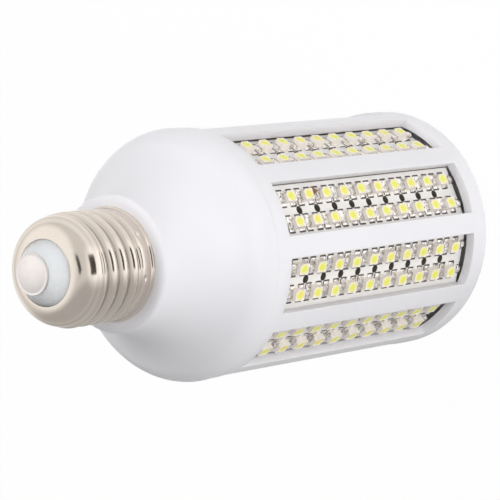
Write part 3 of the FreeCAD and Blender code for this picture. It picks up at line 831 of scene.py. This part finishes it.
def insulator_section():
    """A rounded plug under the shell's shoulder, a neck through its mouth and a low cone."""
    plug_round = SHOULDER_ROUND - SHEET - INSULATOR_GAP
    points = [(STEM_HOLE, thread_top)]
    points += arc((MOUTH_RADIUS, thread_top), plug_round, 0, 90, 16)
    points += [(insulator_neck, thread_top + plug_round), (insulator_neck, shell_top)]
    points += [(insulator_top, contact_seat), (STEM_HOLE, contact_seat)]
    return points


def contact_section():
    """A stem, a rounded edge and a dome that is part of a large ball."""
    edge_across = contact_radius - CONTACT_EDGE
    edge_centre = (edge_across, contact_seat + CONTACT_EDGE)
    dome_start = math.degrees(math.acos(edge_across / contact_ball)) + CONTACT_DOME_INSET
    points = [(0, contact_low.z), (STEM_RADIUS, contact_low.z), (STEM_RADIUS, contact_seat)]
    points += arc(edge_centre, CONTACT_EDGE, -90, CONTACT_EDGE_TURN, 8)
    points += arc((0, tip - contact_ball), contact_ball, dome_start, 90, 16)[:-1] + [(0, tip)]
    return points


insulator_mesh = turned_mesh("insulator", insulator_section())
shade(insulator_mesh)
put_on_bulb("insulator", insulator_mesh, insulator_finish, ["cap_insulator"])
contact_mesh = turned_mesh("contact_button", contact_section(), closed=False)
shade(contact_mesh)
put_on_bulb("contact_button", contact_mesh, contact_metal, ["centre_contact"])

# %% [markdown]
# ## LEDs
#
# Each LED is a moulded package with an oval cup, and the cup is filled with yellow phosphor.
# Two folded leads sit at its ends, and solder runs from them out over tinned pads. There are
# two hundred, so one of each part is drawn with a few dozen faces, and Geometry Nodes set
# them out: the number of a copy gives its strip, its row and its place in the row. A small
# fixed-seed scatter keeps the rows from looking ruled.

# %% Set copies out on the strips with Geometry Nodes
SCATTER = 0.08 * MM
TWIST = math.radians(1.5)
LED_SEED = 3


def rows_tree():
    """Copies of one object in rows on every strip, each with a small scatter and its own tint."""
    graph, given = new_tree("rows_on_strips", [
        ("Strips", "Int"), ("Rows", "Int"), ("Steps", "Int"), ("Row Gap", "Float"),
        ("First", "Float"), ("Pitch", "Float"), ("Face", "Float"), ("Scatter", "Float"),
        ("Twist", "Float"), ("Seed", "Int"), ("Copy", "Object"), ("Material", "Material")])
    strips, rows, steps = given.out("Strips"), given.out("Rows"), given.out("Steps")
    points = graph.add("GeometryNodePoints", None, {"Count": strips * rows * steps})
    number = graph.add("GeometryNodeInputIndex")
    strip = (number / (rows * steps)).floor()
    row = ((number % (rows * steps)) / steps).floor()
    step = number % steps
    slack = [graph.add("FunctionNodeRandomValue", {"data_type": "FLOAT"},
                       {2: -1.0, 3: 1.0, "Seed": given.out("Seed") + shift}, 1) for shift in range(4)]
    across = (row - (rows - 1) / 2) * given.out("Row Gap") + slack[0] * given.out("Scatter")
    up = given.out("First") + step * given.out("Pitch") + slack[1] * given.out("Scatter")
    flat = graph.add("ShaderNodeCombineXYZ", None, {"X": across, "Y": 0 - given.out("Face"), "Z": up})
    turn = strip * (2 * math.pi) / strips
    place = graph.add("ShaderNodeVectorRotate", {"rotation_type": "Z_AXIS"},
                      {"Vector": flat, "Angle": turn})
    points = graph.add("GeometryNodeSetPosition", None, {"Geometry": points, "Position": place})
    lean = graph.add("ShaderNodeCombineXYZ", None,
                     {"Y": slack[2] * given.out("Twist"), "Z": turn})
    copy = graph.add("GeometryNodeObjectInfo", None, {"Object": given.out("Copy")}).out("Geometry")
    copies = graph.add("GeometryNodeInstanceOnPoints", None,
                       {"Points": points, "Instance": copy, "Rotation": lean})
    copies = graph.add("GeometryNodeStoreNamedAttribute",
                       {"data_type": "FLOAT", "domain": "INSTANCE"},
                       {"Geometry": copies, "Name": "tint", "Value": slack[3]})
    solid = graph.add("GeometryNodeRealizeInstances", None, {"Geometry": copies})
    solid = graph.add("GeometryNodeSetMaterial", None,
                      {"Geometry": solid, "Material": given.out("Material")})
    return close_tree(graph, solid)


rows_on_strips = rows_tree()
led_rows = {"Strips": STRIPS, "Rows": ROWS, "Steps": LEDS_IN_A_ROW, "Row Gap": row_gap,
            "First": first_led, "Pitch": led_pitch, "Face": board_face,
            "Scatter": SCATTER, "Twist": TWIST, "Seed": LED_SEED}


def set_out(name, pattern, material, nodes, values):
    """Runs the tree with one drawn part and puts the result on the bulb."""
    copy = bpy.data.objects.new(name + "_one", pattern)
    mesh = run_tree(name, rows_on_strips, dict(values, Copy=copy, Material=material))
    bpy.data.objects.remove(copy)
    return put_on_bulb(name, mesh, None, nodes)


print("the tree that sets copies out has", len(rows_on_strips.nodes), "nodes")

# %% [markdown]
# One LED is drawn by joining loops of points with faces. The package's outline and the cup's
# oval have as many points as each other, so a plain strip of faces fills the rim between them.
# The phosphor is a low dome in the cup, paler where it thins out at the rim.

# %% Draw one LED
CUP_ACROSS = 1.27 * MM
CUP_ALONG = 1.62 * MM
CUP_DEPTH = 0.18 * MM
DRAFT = 0.06 * MM
CUP_TAPER = 0.95
CROWN_SHARE = 0.4
CORNER_CUT = 0.4 * MM
SIDE_STEPS = 4
edge_below = CUP_DEPTH / 2
crown_below = CUP_DEPTH / 8


def drawn(name, build):
    """A mesh of one part: across is X, out of the board is -Y, along the strip is Z."""
    shape = bmesh.new()
    build(shape)
    bmesh.ops.recalc_face_normals(shape, faces=shape.faces)
    mesh = bpy.data.meshes.new(name)
    shape.to_mesh(mesh)
    shape.free()
    return mesh


def loop_at(shape, outline, out):
    """New points along an outline of (across, along), at one height over the board."""
    return [shape.verts.new((across, -out, along)) for across, along in outline]


def skin(shape, lower, upper):
    """Faces between two loops of as many points."""
    count = len(lower)
    for step in range(count):
        following = (step + 1) % count
        shape.faces.new([lower[step], lower[following], upper[following], upper[step]])


def close_rings(shape, rings):
    """Faces between loops that follow each other, and one face over each end."""
    for lower, upper in zip(rings, rings[1:]):
        skin(shape, lower, upper)
    shape.faces.new(rings[0])
    shape.faces.new(rings[-1])


def package_outline(grow):
    """Points round the package, four to a side, with one corner cut to mark the polarity."""
    half_across, half_along = led_width / 2 + grow, led_length / 2 + grow
    corners = [(half_across, -half_along), (half_across, half_along),
               (-half_across, half_along), (-half_across, -half_along)]
    points = []
    for number, (across, along) in enumerate(corners):
        next_across, next_along = corners[(number + 1) % len(corners)]
        for step in range(SIDE_STEPS):
            share = step / SIDE_STEPS
            points.append((across + (next_across - across) * share,
                           along + (next_along - along) * share))
    points[SIDE_STEPS] = (half_across - CORNER_CUT, half_along - CORNER_CUT)
    return points


def cup_outline(share):
    """An oval round the middle of the package, as a share of the cup's mouth."""
    steps = 4 * SIDE_STEPS
    angles = [math.radians(-45 + 360 * step / steps) for step in range(steps)]
    return [(share * CUP_ACROSS * math.cos(angle), share * CUP_ALONG * math.sin(angle))
            for angle in angles]


def build_package(shape):
    """The moulded body with its cup. Its sides lean in, as a mould needs."""
    foot = loop_at(shape, package_outline(0), 0)
    top = loop_at(shape, package_outline(-DRAFT), led_height)
    rim = loop_at(shape, cup_outline(1), led_height)
    well = loop_at(shape, cup_outline(CUP_TAPER), led_height - CUP_DEPTH)
    close_rings(shape, [foot, top, rim, well])


def build_phosphor(shape):
    """A low dome that fills the cup. It carries how near its rim each point lies."""
    nearness = shape.verts.layers.float.new("rim")
    edge = loop_at(shape, cup_outline(CUP_TAPER), led_height - edge_below)
    crown = loop_at(shape, cup_outline(CROWN_SHARE), led_height - crown_below)
    for point in edge:
        point[nearness] = 1.0
    close_rings(shape, [edge, crown])


package_mesh = drawn("package", build_package)
phosphor_mesh = drawn("phosphor", build_phosphor)
print("one LED has", len(package_mesh.polygons) + len(phosphor_mesh.polygons), "faces")

# %% [markdown]
# The leads and the solder are drawn in the same way. The pads are pillows of tin on the board,
# and thin dark lines along their edges are painted shade at the edges of the pads. One brown
# stain of flux lies between two LEDs of the first strip.

# %% Draw the leads, solder fillets and pads
LEAD_HALF = 1.1 * MM
LEAD_OUT = 0.2 * MM
LEAD_TOP = 0.9 * MM
PAD_HALF = 1.95 * MM
PAD_NEAR = 0.8 * MM
PAD_FAR = 3.0 * MM
PAD_HEIGHT = 0.24 * MM
PAD_SOFTNESS = 0.18 * MM
PAD_STEPS = ((0.0, 0.0), (0.35, 0.6), (1.0, 0.85), (2.4, 1.0))
PAD_SHADE_WIDTH = 0.34 * MM
PAD_SHADE_END = 0.26 * MM
PAD_SHADE_HEIGHT = 0.06 * MM
FILLET_STEPS = ((0.0, 0.75), (0.3, 0.42), (0.65, 0.3), (1.0, 0.24))
FILLET_TAPER = 0.8
STAIN_RADIUS = 1.0 * MM
STAIN_ASIDE = 0.95 * MM
STAIN_LEDS_DOWN = 1.55
STAIN_HEIGHT = 1.0 * MM
STAIN_STEPS = 20
STAIN_LOBES = 0.22
STAIN_FRAY = 0.12
STAIN_RINGS = ((1.0, 0.0), (0.95, 0.55), (0.75, 0.85), (0.4, 1.0))


def add_block(shape, low, high):
    """A box between two corners of (across, out, along)."""
    outline = [(low[0], low[2]), (high[0], low[2]), (high[0], high[2]), (low[0], high[2])]
    close_rings(shape, [loop_at(shape, outline, low[1]), loop_at(shape, outline, high[1])])


def build_leads(shape):
    """Two folded leads, each with a fillet of solder that runs out over its pad."""
    end = led_length / 2
    for side in (-1, 1):
        near, far = sorted((side * end, side * (end + LEAD_OUT)))
        add_block(shape, (-LEAD_HALF, 0, near), (LEAD_HALF, LEAD_TOP, far))
        rings = []
        for share, height in FILLET_STEPS:
            along = side * (end + LEAD_OUT + (PAD_FAR - PAD_SOFTNESS - end - LEAD_OUT) * share)
            half = LEAD_HALF + (PAD_HALF - PAD_SOFTNESS - LEAD_HALF) * share
            top, height = half * FILLET_TAPER, height * MM
            section = [(-half, 0), (half, 0), (top, height), (-top, height)]
            rings.append([shape.verts.new((across, -out, along)) for across, out in section])
        close_rings(shape, rings)


def build_pads(shape):
    """The two tinned pads of one LED, each a low pillow."""
    for side in (-1, 1):
        near, far = sorted((side * PAD_NEAR, side * PAD_FAR))
        rings = []
        for inset, rise in PAD_STEPS:
            inset = inset * PAD_SOFTNESS
            half, low, high = PAD_HALF - inset, near + inset, far - inset
            outline = [(-half, low), (half, low), (half, high), (-half, high)]
            rings.append(loop_at(shape, outline, PAD_HEIGHT * rise))
        close_rings(shape, rings)


def build_pad_shade(shape):
    """Painted shade along the outer and inner edge of each pad, and a finer line across its end."""
    for side in (-1, 1):
        near, far = sorted((side * PAD_NEAR, side * PAD_FAR))
        for flank in (-1, 1):
            low, high = sorted((flank * PAD_HALF, flank * (PAD_HALF + PAD_SHADE_WIDTH)))
            add_block(shape, (low, 0, near), (high, PAD_SHADE_HEIGHT, far))
        near, far = sorted((side * PAD_FAR, side * (PAD_FAR + PAD_SHADE_END)))
        add_block(shape, (-PAD_HALF, 0, near), (PAD_HALF, PAD_SHADE_HEIGHT, far))


def build_stain(shape):
    """An uneven drop of flux on the first strip, between the second and third LED from its top."""
    across, along = row_gap / 2 + STAIN_ASIDE, last_led - STAIN_LEDS_DOWN * led_pitch
    rings = []
    for share, rise in STAIN_RINGS:
        outline = []
        for step in range(STAIN_STEPS):
            angle = 2 * math.pi * step / STAIN_STEPS
            uneven = 1 + STAIN_LOBES * math.sin(3 * angle) + STAIN_FRAY * math.cos(5 * angle)
            reach = STAIN_RADIUS * share * uneven
            outline.append((across + reach * math.cos(angle), along + reach * math.sin(angle)))
        rings.append(loop_at(shape, outline, board_face + STAIN_HEIGHT * rise))
    close_rings(shape, rings)


leads_mesh = drawn("leads", build_leads)
pads_mesh = drawn("pads", build_pads)
pad_shade_mesh = drawn("pad_shade", build_pad_shade)
stain_mesh = drawn("flux_stain", build_stain)
for mesh in (leads_mesh, pads_mesh, pad_shade_mesh, stain_mesh):
    print("one", mesh.name, "has", len(mesh.polygons), "faces")

# %% [markdown]
# The package is a warm white plastic. The phosphor differs a little from LED to LED, so each
# copy carries a random tint, and its material reads that and the nearness of the rim. The dark
# lines at the pads' edges are painted shade, nearly black, with a soft gloss.

# %% Make the LED finishes and set everything out
PACKAGE = (0.93, 0.88, 0.82, 1)
PACKAGE_SHADE = (0.90, 0.83, 0.75, 1)
PHOSPHOR_GREEN = (0.82, 0.82, 0.12, 1)
PHOSPHOR_WARM = (0.90, 0.76, 0.15, 1)
PHOSPHOR_PALE = (0.93, 0.86, 0.46, 1)
PAD_SHADE_DARK = (0.035, 0.030, 0.025, 1)
PAD_SHADE_BROWN = (0.10, 0.075, 0.05, 1)
STAIN_DARK = (0.16, 0.07, 0.03, 1)
STAIN_LIGHT = (0.34, 0.18, 0.09, 1)
STAIN_RIPPLE = 0.1 * MM


def led_package(graph):
    cloud = graph.noise(700, 3)
    return {
        "Base Color": graph.blend(cloud, PACKAGE, PACKAGE_SHADE),
        "Roughness": 0.42 + 0.15 * cloud,
        "Normal": graph.bump(cloud, 0.05, RIPPLE_HEIGHT),
    }


def yellow_phosphor(graph):
    tint = graph.add("ShaderNodeAttribute", {"attribute_name": "tint"}).out("Fac")
    rim = graph.add("ShaderNodeAttribute", {"attribute_name": "rim"}).out("Fac")
    grain = graph.noise(5000, 2)
    warm = (tint * 0.5 + 0.5 + grain * 0.3).between(0.65, 1.5)
    body = graph.blend(warm, PHOSPHOR_GREEN, PHOSPHOR_WARM)
    return {
        "Base Color": graph.blend(rim.between(0.1, 1.0), body, PHOSPHOR_PALE),
        "Roughness": 0.28 + 0.2 * grain,
        "Normal": graph.bump(grain, 0.1, RIPPLE_HEIGHT),
    }


# Painted shade for the edges of the pads, from nearly black to a dark brown.
def painted_pad_shade(graph):
    cloud = graph.noise(1500, 3)
    return {
        "Base Color": graph.blend(cloud.between(0.3, 0.7), PAD_SHADE_DARK, PAD_SHADE_BROWN),
        "Roughness": 0.35 + 0.3 * cloud,
    }


def flux_stain(graph):
    cloud = graph.noise(1800, 3)
    return {
        "Base Color": graph.blend(cloud.between(0.35, 0.65), STAIN_DARK, STAIN_LIGHT),
        "Roughness": 0.25 + 0.3 * cloud,
        "Normal": graph.bump(cloud, 0.2, STAIN_RIPPLE),
    }


package_plastic = finish_of("led_package", led_package)
phosphor = finish_of("yellow_phosphor", yellow_phosphor)
pad_shade = finish_of("painted_pad_shade", painted_pad_shade)
led_nodes = ["leds_%02d" % number for number in range(1, STRIPS + 1)]
set_out("led_packages", package_mesh, package_plastic, led_nodes, led_rows)
set_out("led_phosphor", phosphor_mesh, phosphor, [], led_rows)
set_out("led_leads", leads_mesh, solder, [], led_rows)
pad_rows = dict(led_rows, Scatter=0.0, Twist=0.0)
pads = set_out("tinned_pads", pads_mesh, solder, [], pad_rows)
shade(pads.data, crease=70)
set_out("flux_lines", pad_shade_mesh, pad_shade, [], pad_rows)
shade(stain_mesh, crease=60)
put_on_bulb("flux_stain", stain_mesh, finish_of("flux_stain", flux_stain), [])

# %% [markdown]
# ## Solder joints at the plain end
#
# Each strip is soldered to the end board by two joints, rounded drops of solder that were
# left to cool. The same tree sets them out, with one step in a row instead of ten.

# %% Set out the solder joints
JOINT_LIFT = 1.0 * MM
JOINT_RADIUS = 1.25 * MM
JOINT_HEIGHT = 0.95 * MM
JOINT_STEPS = 16
JOINT_SEED = 11
JOINT_RINGS = ((1.0, 0.0), (0.96, 0.3), (0.8, 0.62), (0.5, 0.88), (0.2, 1.0))


def build_joint(shape):
    """A round drop, drawn as rings of (share of the radius, share of the height)."""
    angles = [2 * math.pi * step / JOINT_STEPS for step in range(JOINT_STEPS)]
    rings = []
    for share, rise in JOINT_RINGS:
        reach = JOINT_RADIUS * share
        outline = [(reach * math.cos(angle), reach * math.sin(angle)) for angle in angles]
        rings.append(loop_at(shape, outline, JOINT_HEIGHT * rise))
    close_rings(shape, rings)


joint_rows = dict(led_rows, Steps=1, First=board_low.z + JOINT_LIFT, Seed=JOINT_SEED)
joints = set_out("solder_drops", drawn("joint", build_joint), solder,
                 ["solder_joints"], joint_rows)
shade(joints.data, crease=60)

# %% [markdown]
# ## Boards and the driver
#
# The boards, the driver's parts and the wires keep the meshes of the solid model, which are
# right as they are. Each one gets a finish of its own: a white coating over woven glass for
# the strips, a green one for the two round boards, lacquer, shrink sleeve and rubber.

# %% Make their finishes
def two_tone(light, dark, scale, rough, spread, ripple=0.05):
    """A finish that drifts between two colours, with its gloss and a fine ripple."""
    def paint(graph):
        cloud = graph.noise(scale, 3)
        return {
            "Base Color": graph.blend(cloud, light, dark),
            "Roughness": rough + spread * cloud,
            "Normal": graph.bump(graph.noise(scale * 6), ripple, RIPPLE_HEIGHT),
        }
    return paint


COATING = (0.87, 0.85, 0.83, 1)
COATING_SHADE = (0.83, 0.81, 0.79, 1)
# Bare board for the back, the edges and the vents, darkened as painted shade in those gaps, and the
# colour of the painted shade line.
BARE_BOARD_AND_GAP_SHADE = (0.13, 0.115, 0.085, 1)
EDGE_SHADE_START = 6.5 * MM
EDGE_SHADE_SOFTNESS = 0.15 * MM
FACES_OUT = 0.7


def strip_board(graph):
    """White coating with a painted shade line at one long edge; bare board, darkened as shade,
    elsewhere.
    """
    cloud = graph.noise(300, 3)
    place = graph.add("ShaderNodeTexCoord").out("Object")
    level = graph.add("ShaderNodeVectorMath", {"operation": "MULTIPLY"}, {0: place, 1: (1, 1, 0)})
    outward = graph.add("ShaderNodeVectorMath", {"operation": "NORMALIZE"}, {0: level})
    facing = graph.add("ShaderNodeNewGeometry").out("True Normal")
    agree = graph.add("ShaderNodeVectorMath", {"operation": "DOT_PRODUCT"},
                      {0: facing, 1: outward}, "Value")
    split = graph.add("ShaderNodeSeparateXYZ", None, {"Vector": place})
    turn = split.out("X").math("ARCTAN2", 0 - split.out("Y"))
    from_middle = (turn + math.pi / STRIPS) % (2 * math.pi / STRIPS) - math.pi / STRIPS
    radius = graph.add("ShaderNodeVectorMath", {"operation": "LENGTH"}, {0: level}, "Value")
    across = radius * from_middle.sine()
    # Painted shade: the coating stops short of one long edge, and a dark line there stands for the
    # shadow gap at the cage's wall.
    edge_shade_line = across.between(EDGE_SHADE_START, EDGE_SHADE_START + EDGE_SHADE_SOFTNESS)
    coat_outside_shade_line = agree.math("GREATER_THAN", FACES_OUT) * (1 - edge_shade_line)
    white = graph.blend(cloud, COATING, COATING_SHADE)
    return {
        "Base Color": graph.blend(coat_outside_shade_line, BARE_BOARD_AND_GAP_SHADE, white),
        "Roughness": 0.40 + 0.15 * cloud,
        "Normal": graph.bump(graph.noise(1800), 0.05, RIPPLE_HEIGHT),
    }


FINISHES = {
    "white_board": strip_board,
    "green_board": two_tone((0.05, 0.17, 0.08, 1), (0.04, 0.12, 0.06, 1), 250, 0.35, 0.2),
    "capacitor_coat": two_tone((0.45, 0.10, 0.06, 1), (0.36, 0.07, 0.04, 1), 200, 0.25, 0.15),
    "black_sleeve": two_tone((0.03, 0.03, 0.04, 1), (0.05, 0.05, 0.06, 1), 300, 0.3, 0.15),
    "black_moulding": two_tone((0.03, 0.03, 0.03, 1), (0.05, 0.05, 0.05, 1), 400, 0.5, 0.2),
    "resistor_coat": two_tone((0.42, 0.55, 0.62, 1), (0.36, 0.48, 0.55, 1), 300, 0.3, 0.15),
    "red_wire": two_tone((0.45, 0.04, 0.04, 1), (0.38, 0.03, 0.03, 1), 300, 0.45, 0.15),
    "black_wire": two_tone((0.03, 0.03, 0.03, 1), (0.05, 0.05, 0.05, 1), 300, 0.45, 0.15),
}
dressed = 0
finishes = {slot: finish_of(slot, paint) for slot, paint in FINISHES.items()}
for part in frame["record"]["subparts"]:
    if part["material_slot"] in finishes:
        mesh = frame["nodes"][part["node"]].data
        mesh.materials.clear()
        mesh.materials.append(finishes[part["material_slot"]])
        dressed += 1
print("dressed", dressed, "nodes of the solid model")

# %% [markdown]
# ## The floor and the room
#
# The bulb stands on a pale floor that fills the whole picture, because the camera looks down.
# The floor lies a hair below the bulb's plain end, so that the two faces never share a plane.
# Seen directly, the floor is white, but it lights the plastic as a plain grey floor does.
# Bright metal shows the room round it, so the floor and the world have a second look for
# mirrored rays alone: dim on one side, bright on the other and brightest in front, with a
# darker ring on the floor, a pale band low in the room and a bright spot for the back lamp.

# %% Make the room that bright metal shows
BRIGHT_SIDE = (0.967, -0.255, 0.0)
FRONT_SIDE = (-0.255, -0.967, 0.0)
LAMP_SIDE = (0.512, 0.389, 0.766)
BRIGHT_EDGE = (-0.55, -0.20)
FRONT_EDGE = (0.70, 0.97)
LAMP_EDGE = (0.68, 0.94)
FRONT_GLOW = 0.38
LAMP_GLOW = 0.36
FLOOR_DIM = 0.57
FLOOR_BRIGHT = 1.04
RING_STARTS = (0.18, 0.26)
RING_ENDS = (0.34, 0.50)
RING_SHADE = 0.15
SKY_DIM = 0.51
SKY_BRIGHT = 0.82
BAND_ENDS = (0.02, 0.14)
BAND_GLOW = 0.2


def towards(graph, way, target, edge):
    """Rises smoothly from 0 to 1 as a direction turns towards a target, between two cosines."""
    way = graph.add("ShaderNodeVectorMath", {"operation": "NORMALIZE"}, {0: way})
    agree = graph.add("ShaderNodeVectorMath", {"operation": "DOT_PRODUCT"},
                      {0: way, 1: target}, "Value")
    return agree.between(*edge)


def mirrored_floor(graph, place):
    """The floor as bright metal sees it: dim on one side, brightest in front, with a ring."""
    side = towards(graph, place, BRIGHT_SIDE, BRIGHT_EDGE)
    front = FRONT_GLOW * towards(graph, place, FRONT_SIDE, FRONT_EDGE)
    away = graph.add("ShaderNodeVectorMath", {"operation": "LENGTH"}, {0: place}, "Value")
    ring = away.between(*RING_STARTS) * (1 - away.between(*RING_ENDS))
    near = FLOOR_DIM + (FLOOR_BRIGHT - FLOOR_DIM) * side
    return near * (1 - RING_SHADE * ring) + front


def mirrored_sky(graph, way):
    """The room above it, with a pale band low down on the bright side and the back lamp."""
    side = towards(graph, way, BRIGHT_SIDE, BRIGHT_EDGE)
    front = FRONT_GLOW * towards(graph, way, FRONT_SIDE, FRONT_EDGE)
    lamp = LAMP_GLOW * towards(graph, way, LAMP_SIDE, LAMP_EDGE)
    up = graph.add("ShaderNodeSeparateXYZ", None, {"Vector": way}).out("Z")
    band = BAND_GLOW * side * (1 - up.between(*BAND_ENDS))
    return SKY_DIM + (SKY_BRIGHT - SKY_DIM) * side + band + lamp + front


def grey_of(graph, level):
    """A grey colour from a number."""
    return graph.add("ShaderNodeCombineColor", None, {"Red": level, "Green": level, "Blue": level})


def seen_directly(ray):
    """1 for a ray from the camera, or for one that came through glass."""
    return ray.out("Is Camera Ray") + ray.out("Is Transmission Ray")


print("mirrored floor from", FLOOR_DIM, "to", FLOOR_BRIGHT + FRONT_GLOW)

# %% [markdown]
# The floor mixes two shaders. Most rays meet a grey diffuse surface. A ray from the camera
# meets a white glow with a small share of that surface, so that the bulb's shadow stays. A
# mirrored ray meets the second look.

# %% Make the floor
FLOOR_HALF = 4.0
FLOOR_LEVEL = -0.05 * MM
FLOOR_GREY = (0.85, 0.85, 0.85, 1)
FLOOR_SEEN = 0.975


def floor_material():
    """Grey paint for light, a white glow for the camera and the mirrored look for metal."""
    material = bpy.data.materials.new("pale_floor")
    material.use_nodes = True
    graph = Graph(material.node_tree)
    ray = graph.add("ShaderNodeLightPath")
    direct = seen_directly(ray)
    mirrored = ray.out("Is Glossy Ray")
    place = graph.add("ShaderNodeTexCoord").out("Object")
    grey = grey_of(graph, direct + mirrored * mirrored_floor(graph, place))
    paint = graph.add("ShaderNodeBsdfDiffuse", None, {"Color": FLOOR_GREY})
    glow = graph.add("ShaderNodeEmission", None, {"Color": grey, "Strength": 1.0})
    share = FLOOR_SEEN * direct + mirrored
    mixed = graph.add("ShaderNodeMixShader", None, {0: share, 1: paint, 2: glow})
    graph.fill(material.node_tree.nodes["Material Output"].inputs["Surface"], mixed)
    return material


def flat_piece(name, corners, material):
    """A flat face for the studio, not attached to the bulb."""
    mesh = bpy.data.meshes.new(name)
    mesh.from_pydata(corners, [], [tuple(range(len(corners)))])
    mesh.materials.append(material)
    piece = bpy.data.objects.new(name, mesh)
    bpy.context.scene.collection.objects.link(piece)
    return piece


floor_corners = [(-1, -1), (1, -1), (1, 1), (-1, 1)]
flat_piece("floor", [(FLOOR_HALF * across, FLOOR_HALF * deep, FLOOR_LEVEL)
                     for across, deep in floor_corners], floor_material())
print("floor", 2 * FLOOR_HALF, "m across")

# %% [markdown]
# ## Light
#
# Five large soft lamps light the bulb: one high and one low on the camera's side, one at the
# side, a strong one on the far side and a weak one behind. Large lamps give the plastic soft
# edges of shade. They don't show in the metal, because the mirrored room already has what the
# metal should show. The world adds an even grey.

# %% Place the lamps and light the world
BULB_MIDDLE = Vector((0, 0, 0.07))
LAMP_SIZE = 0.8
# Each lamp has its place in metres and its power in watts.
LAMPS = {
    "front_lamp": ((-0.20, -0.75, 0.85), 4.0),
    "low_lamp": ((-0.27, -1.03, 0.355), 3.9),
    "side_lamp": ((-0.87, -0.61, 0.355), 1.8),
    "back_lamp": ((0.70, 0.06, 0.91), 6.3),
    "rear_lamp": ((0.20, 1.00, 0.40), 1.8),
}
AMBIENT = 0.21


def soft_lamp(name, place, watts):
    """A square area lamp that faces the bulb."""
    lamp = bpy.data.lights.new(name, "AREA")
    lamp.size = LAMP_SIZE
    lamp.energy = watts
    holder = bpy.data.objects.new(name, lamp)
    bpy.context.scene.collection.objects.link(holder)
    holder.location = place
    holder.visible_glossy = False
    holder.rotation_euler = (BULB_MIDDLE - Vector(place)).to_track_quat("-Z", "Y").to_euler()


def light_world():
    """An even grey for light, white for the camera and the mirrored room for metal."""
    world = bpy.data.worlds.new("studio")
    bpy.context.scene.world = world
    world.use_nodes = True
    graph = Graph(world.node_tree)
    ray = graph.add("ShaderNodeLightPath")
    way = graph.add("ShaderNodeTexCoord").out("Generated")
    for_camera = (1 - AMBIENT) * seen_directly(ray)
    for_metal = (mirrored_sky(graph, way) - AMBIENT) * ray.out("Is Glossy Ray")
    backdrop = world.node_tree.nodes["Background"]
    graph.fill(backdrop.inputs["Color"], grey_of(graph, AMBIENT + for_camera + for_metal))
    graph.fill(backdrop.inputs["Strength"], 1.0)


for name, (place, watts) in LAMPS.items():
    soft_lamp(name, place, watts)
light_world()
print(len(LAMPS), "lamps with", sum(watts for place, watts in LAMPS.values()), "W in all")

# %% [markdown]
# A photographer hangs dark cards round bright metal to give it crisp streaks. Two do that for
# the plated cap, one high over it and one low in front. Only mirrored rays see them, so they
# take no light from the plastic.

# %% Hang the dark cards
CARD_BLACK = (0.02, 0.018, 0.016, 1)
CARD_GREY = (0.11, 0.10, 0.09, 1)


def dark_card(name, azimuth, elevation, distance, half_width, half_height, grey):
    """A card that only the metal sees; angles in degrees, azimuth from the front of the cage."""
    turn, rise = math.radians(azimuth), math.radians(elevation)
    sideways = Vector((math.cos(turn), math.sin(turn), 0))
    forward = Vector((math.sin(turn), -math.cos(turn), 0))
    outward = forward * math.cos(rise) + Vector((0, 0, math.sin(rise)))
    middle = Vector((0, 0, seat)) + outward * distance
    across = sideways * half_width
    up = outward.cross(sideways) * half_height
    black = finish_of(name, lambda graph: {"Base Color": grey, "Roughness": 1.0})
    card = flat_piece(name, [middle - across - up, middle + across - up,
                             middle + across + up, middle - across + up], black)
    card.visible_camera = False
    card.visible_diffuse = False
    card.visible_shadow = False


dark_card("high_card", azimuth=3.0, elevation=74.0, distance=0.75,
          half_width=0.15, half_height=0.10, grey=CARD_BLACK)
dark_card("low_card", azimuth=-11.3, elevation=4.0, distance=0.45,
          half_width=0.145, half_height=0.13, grey=CARD_GREY)
print("studio ready")
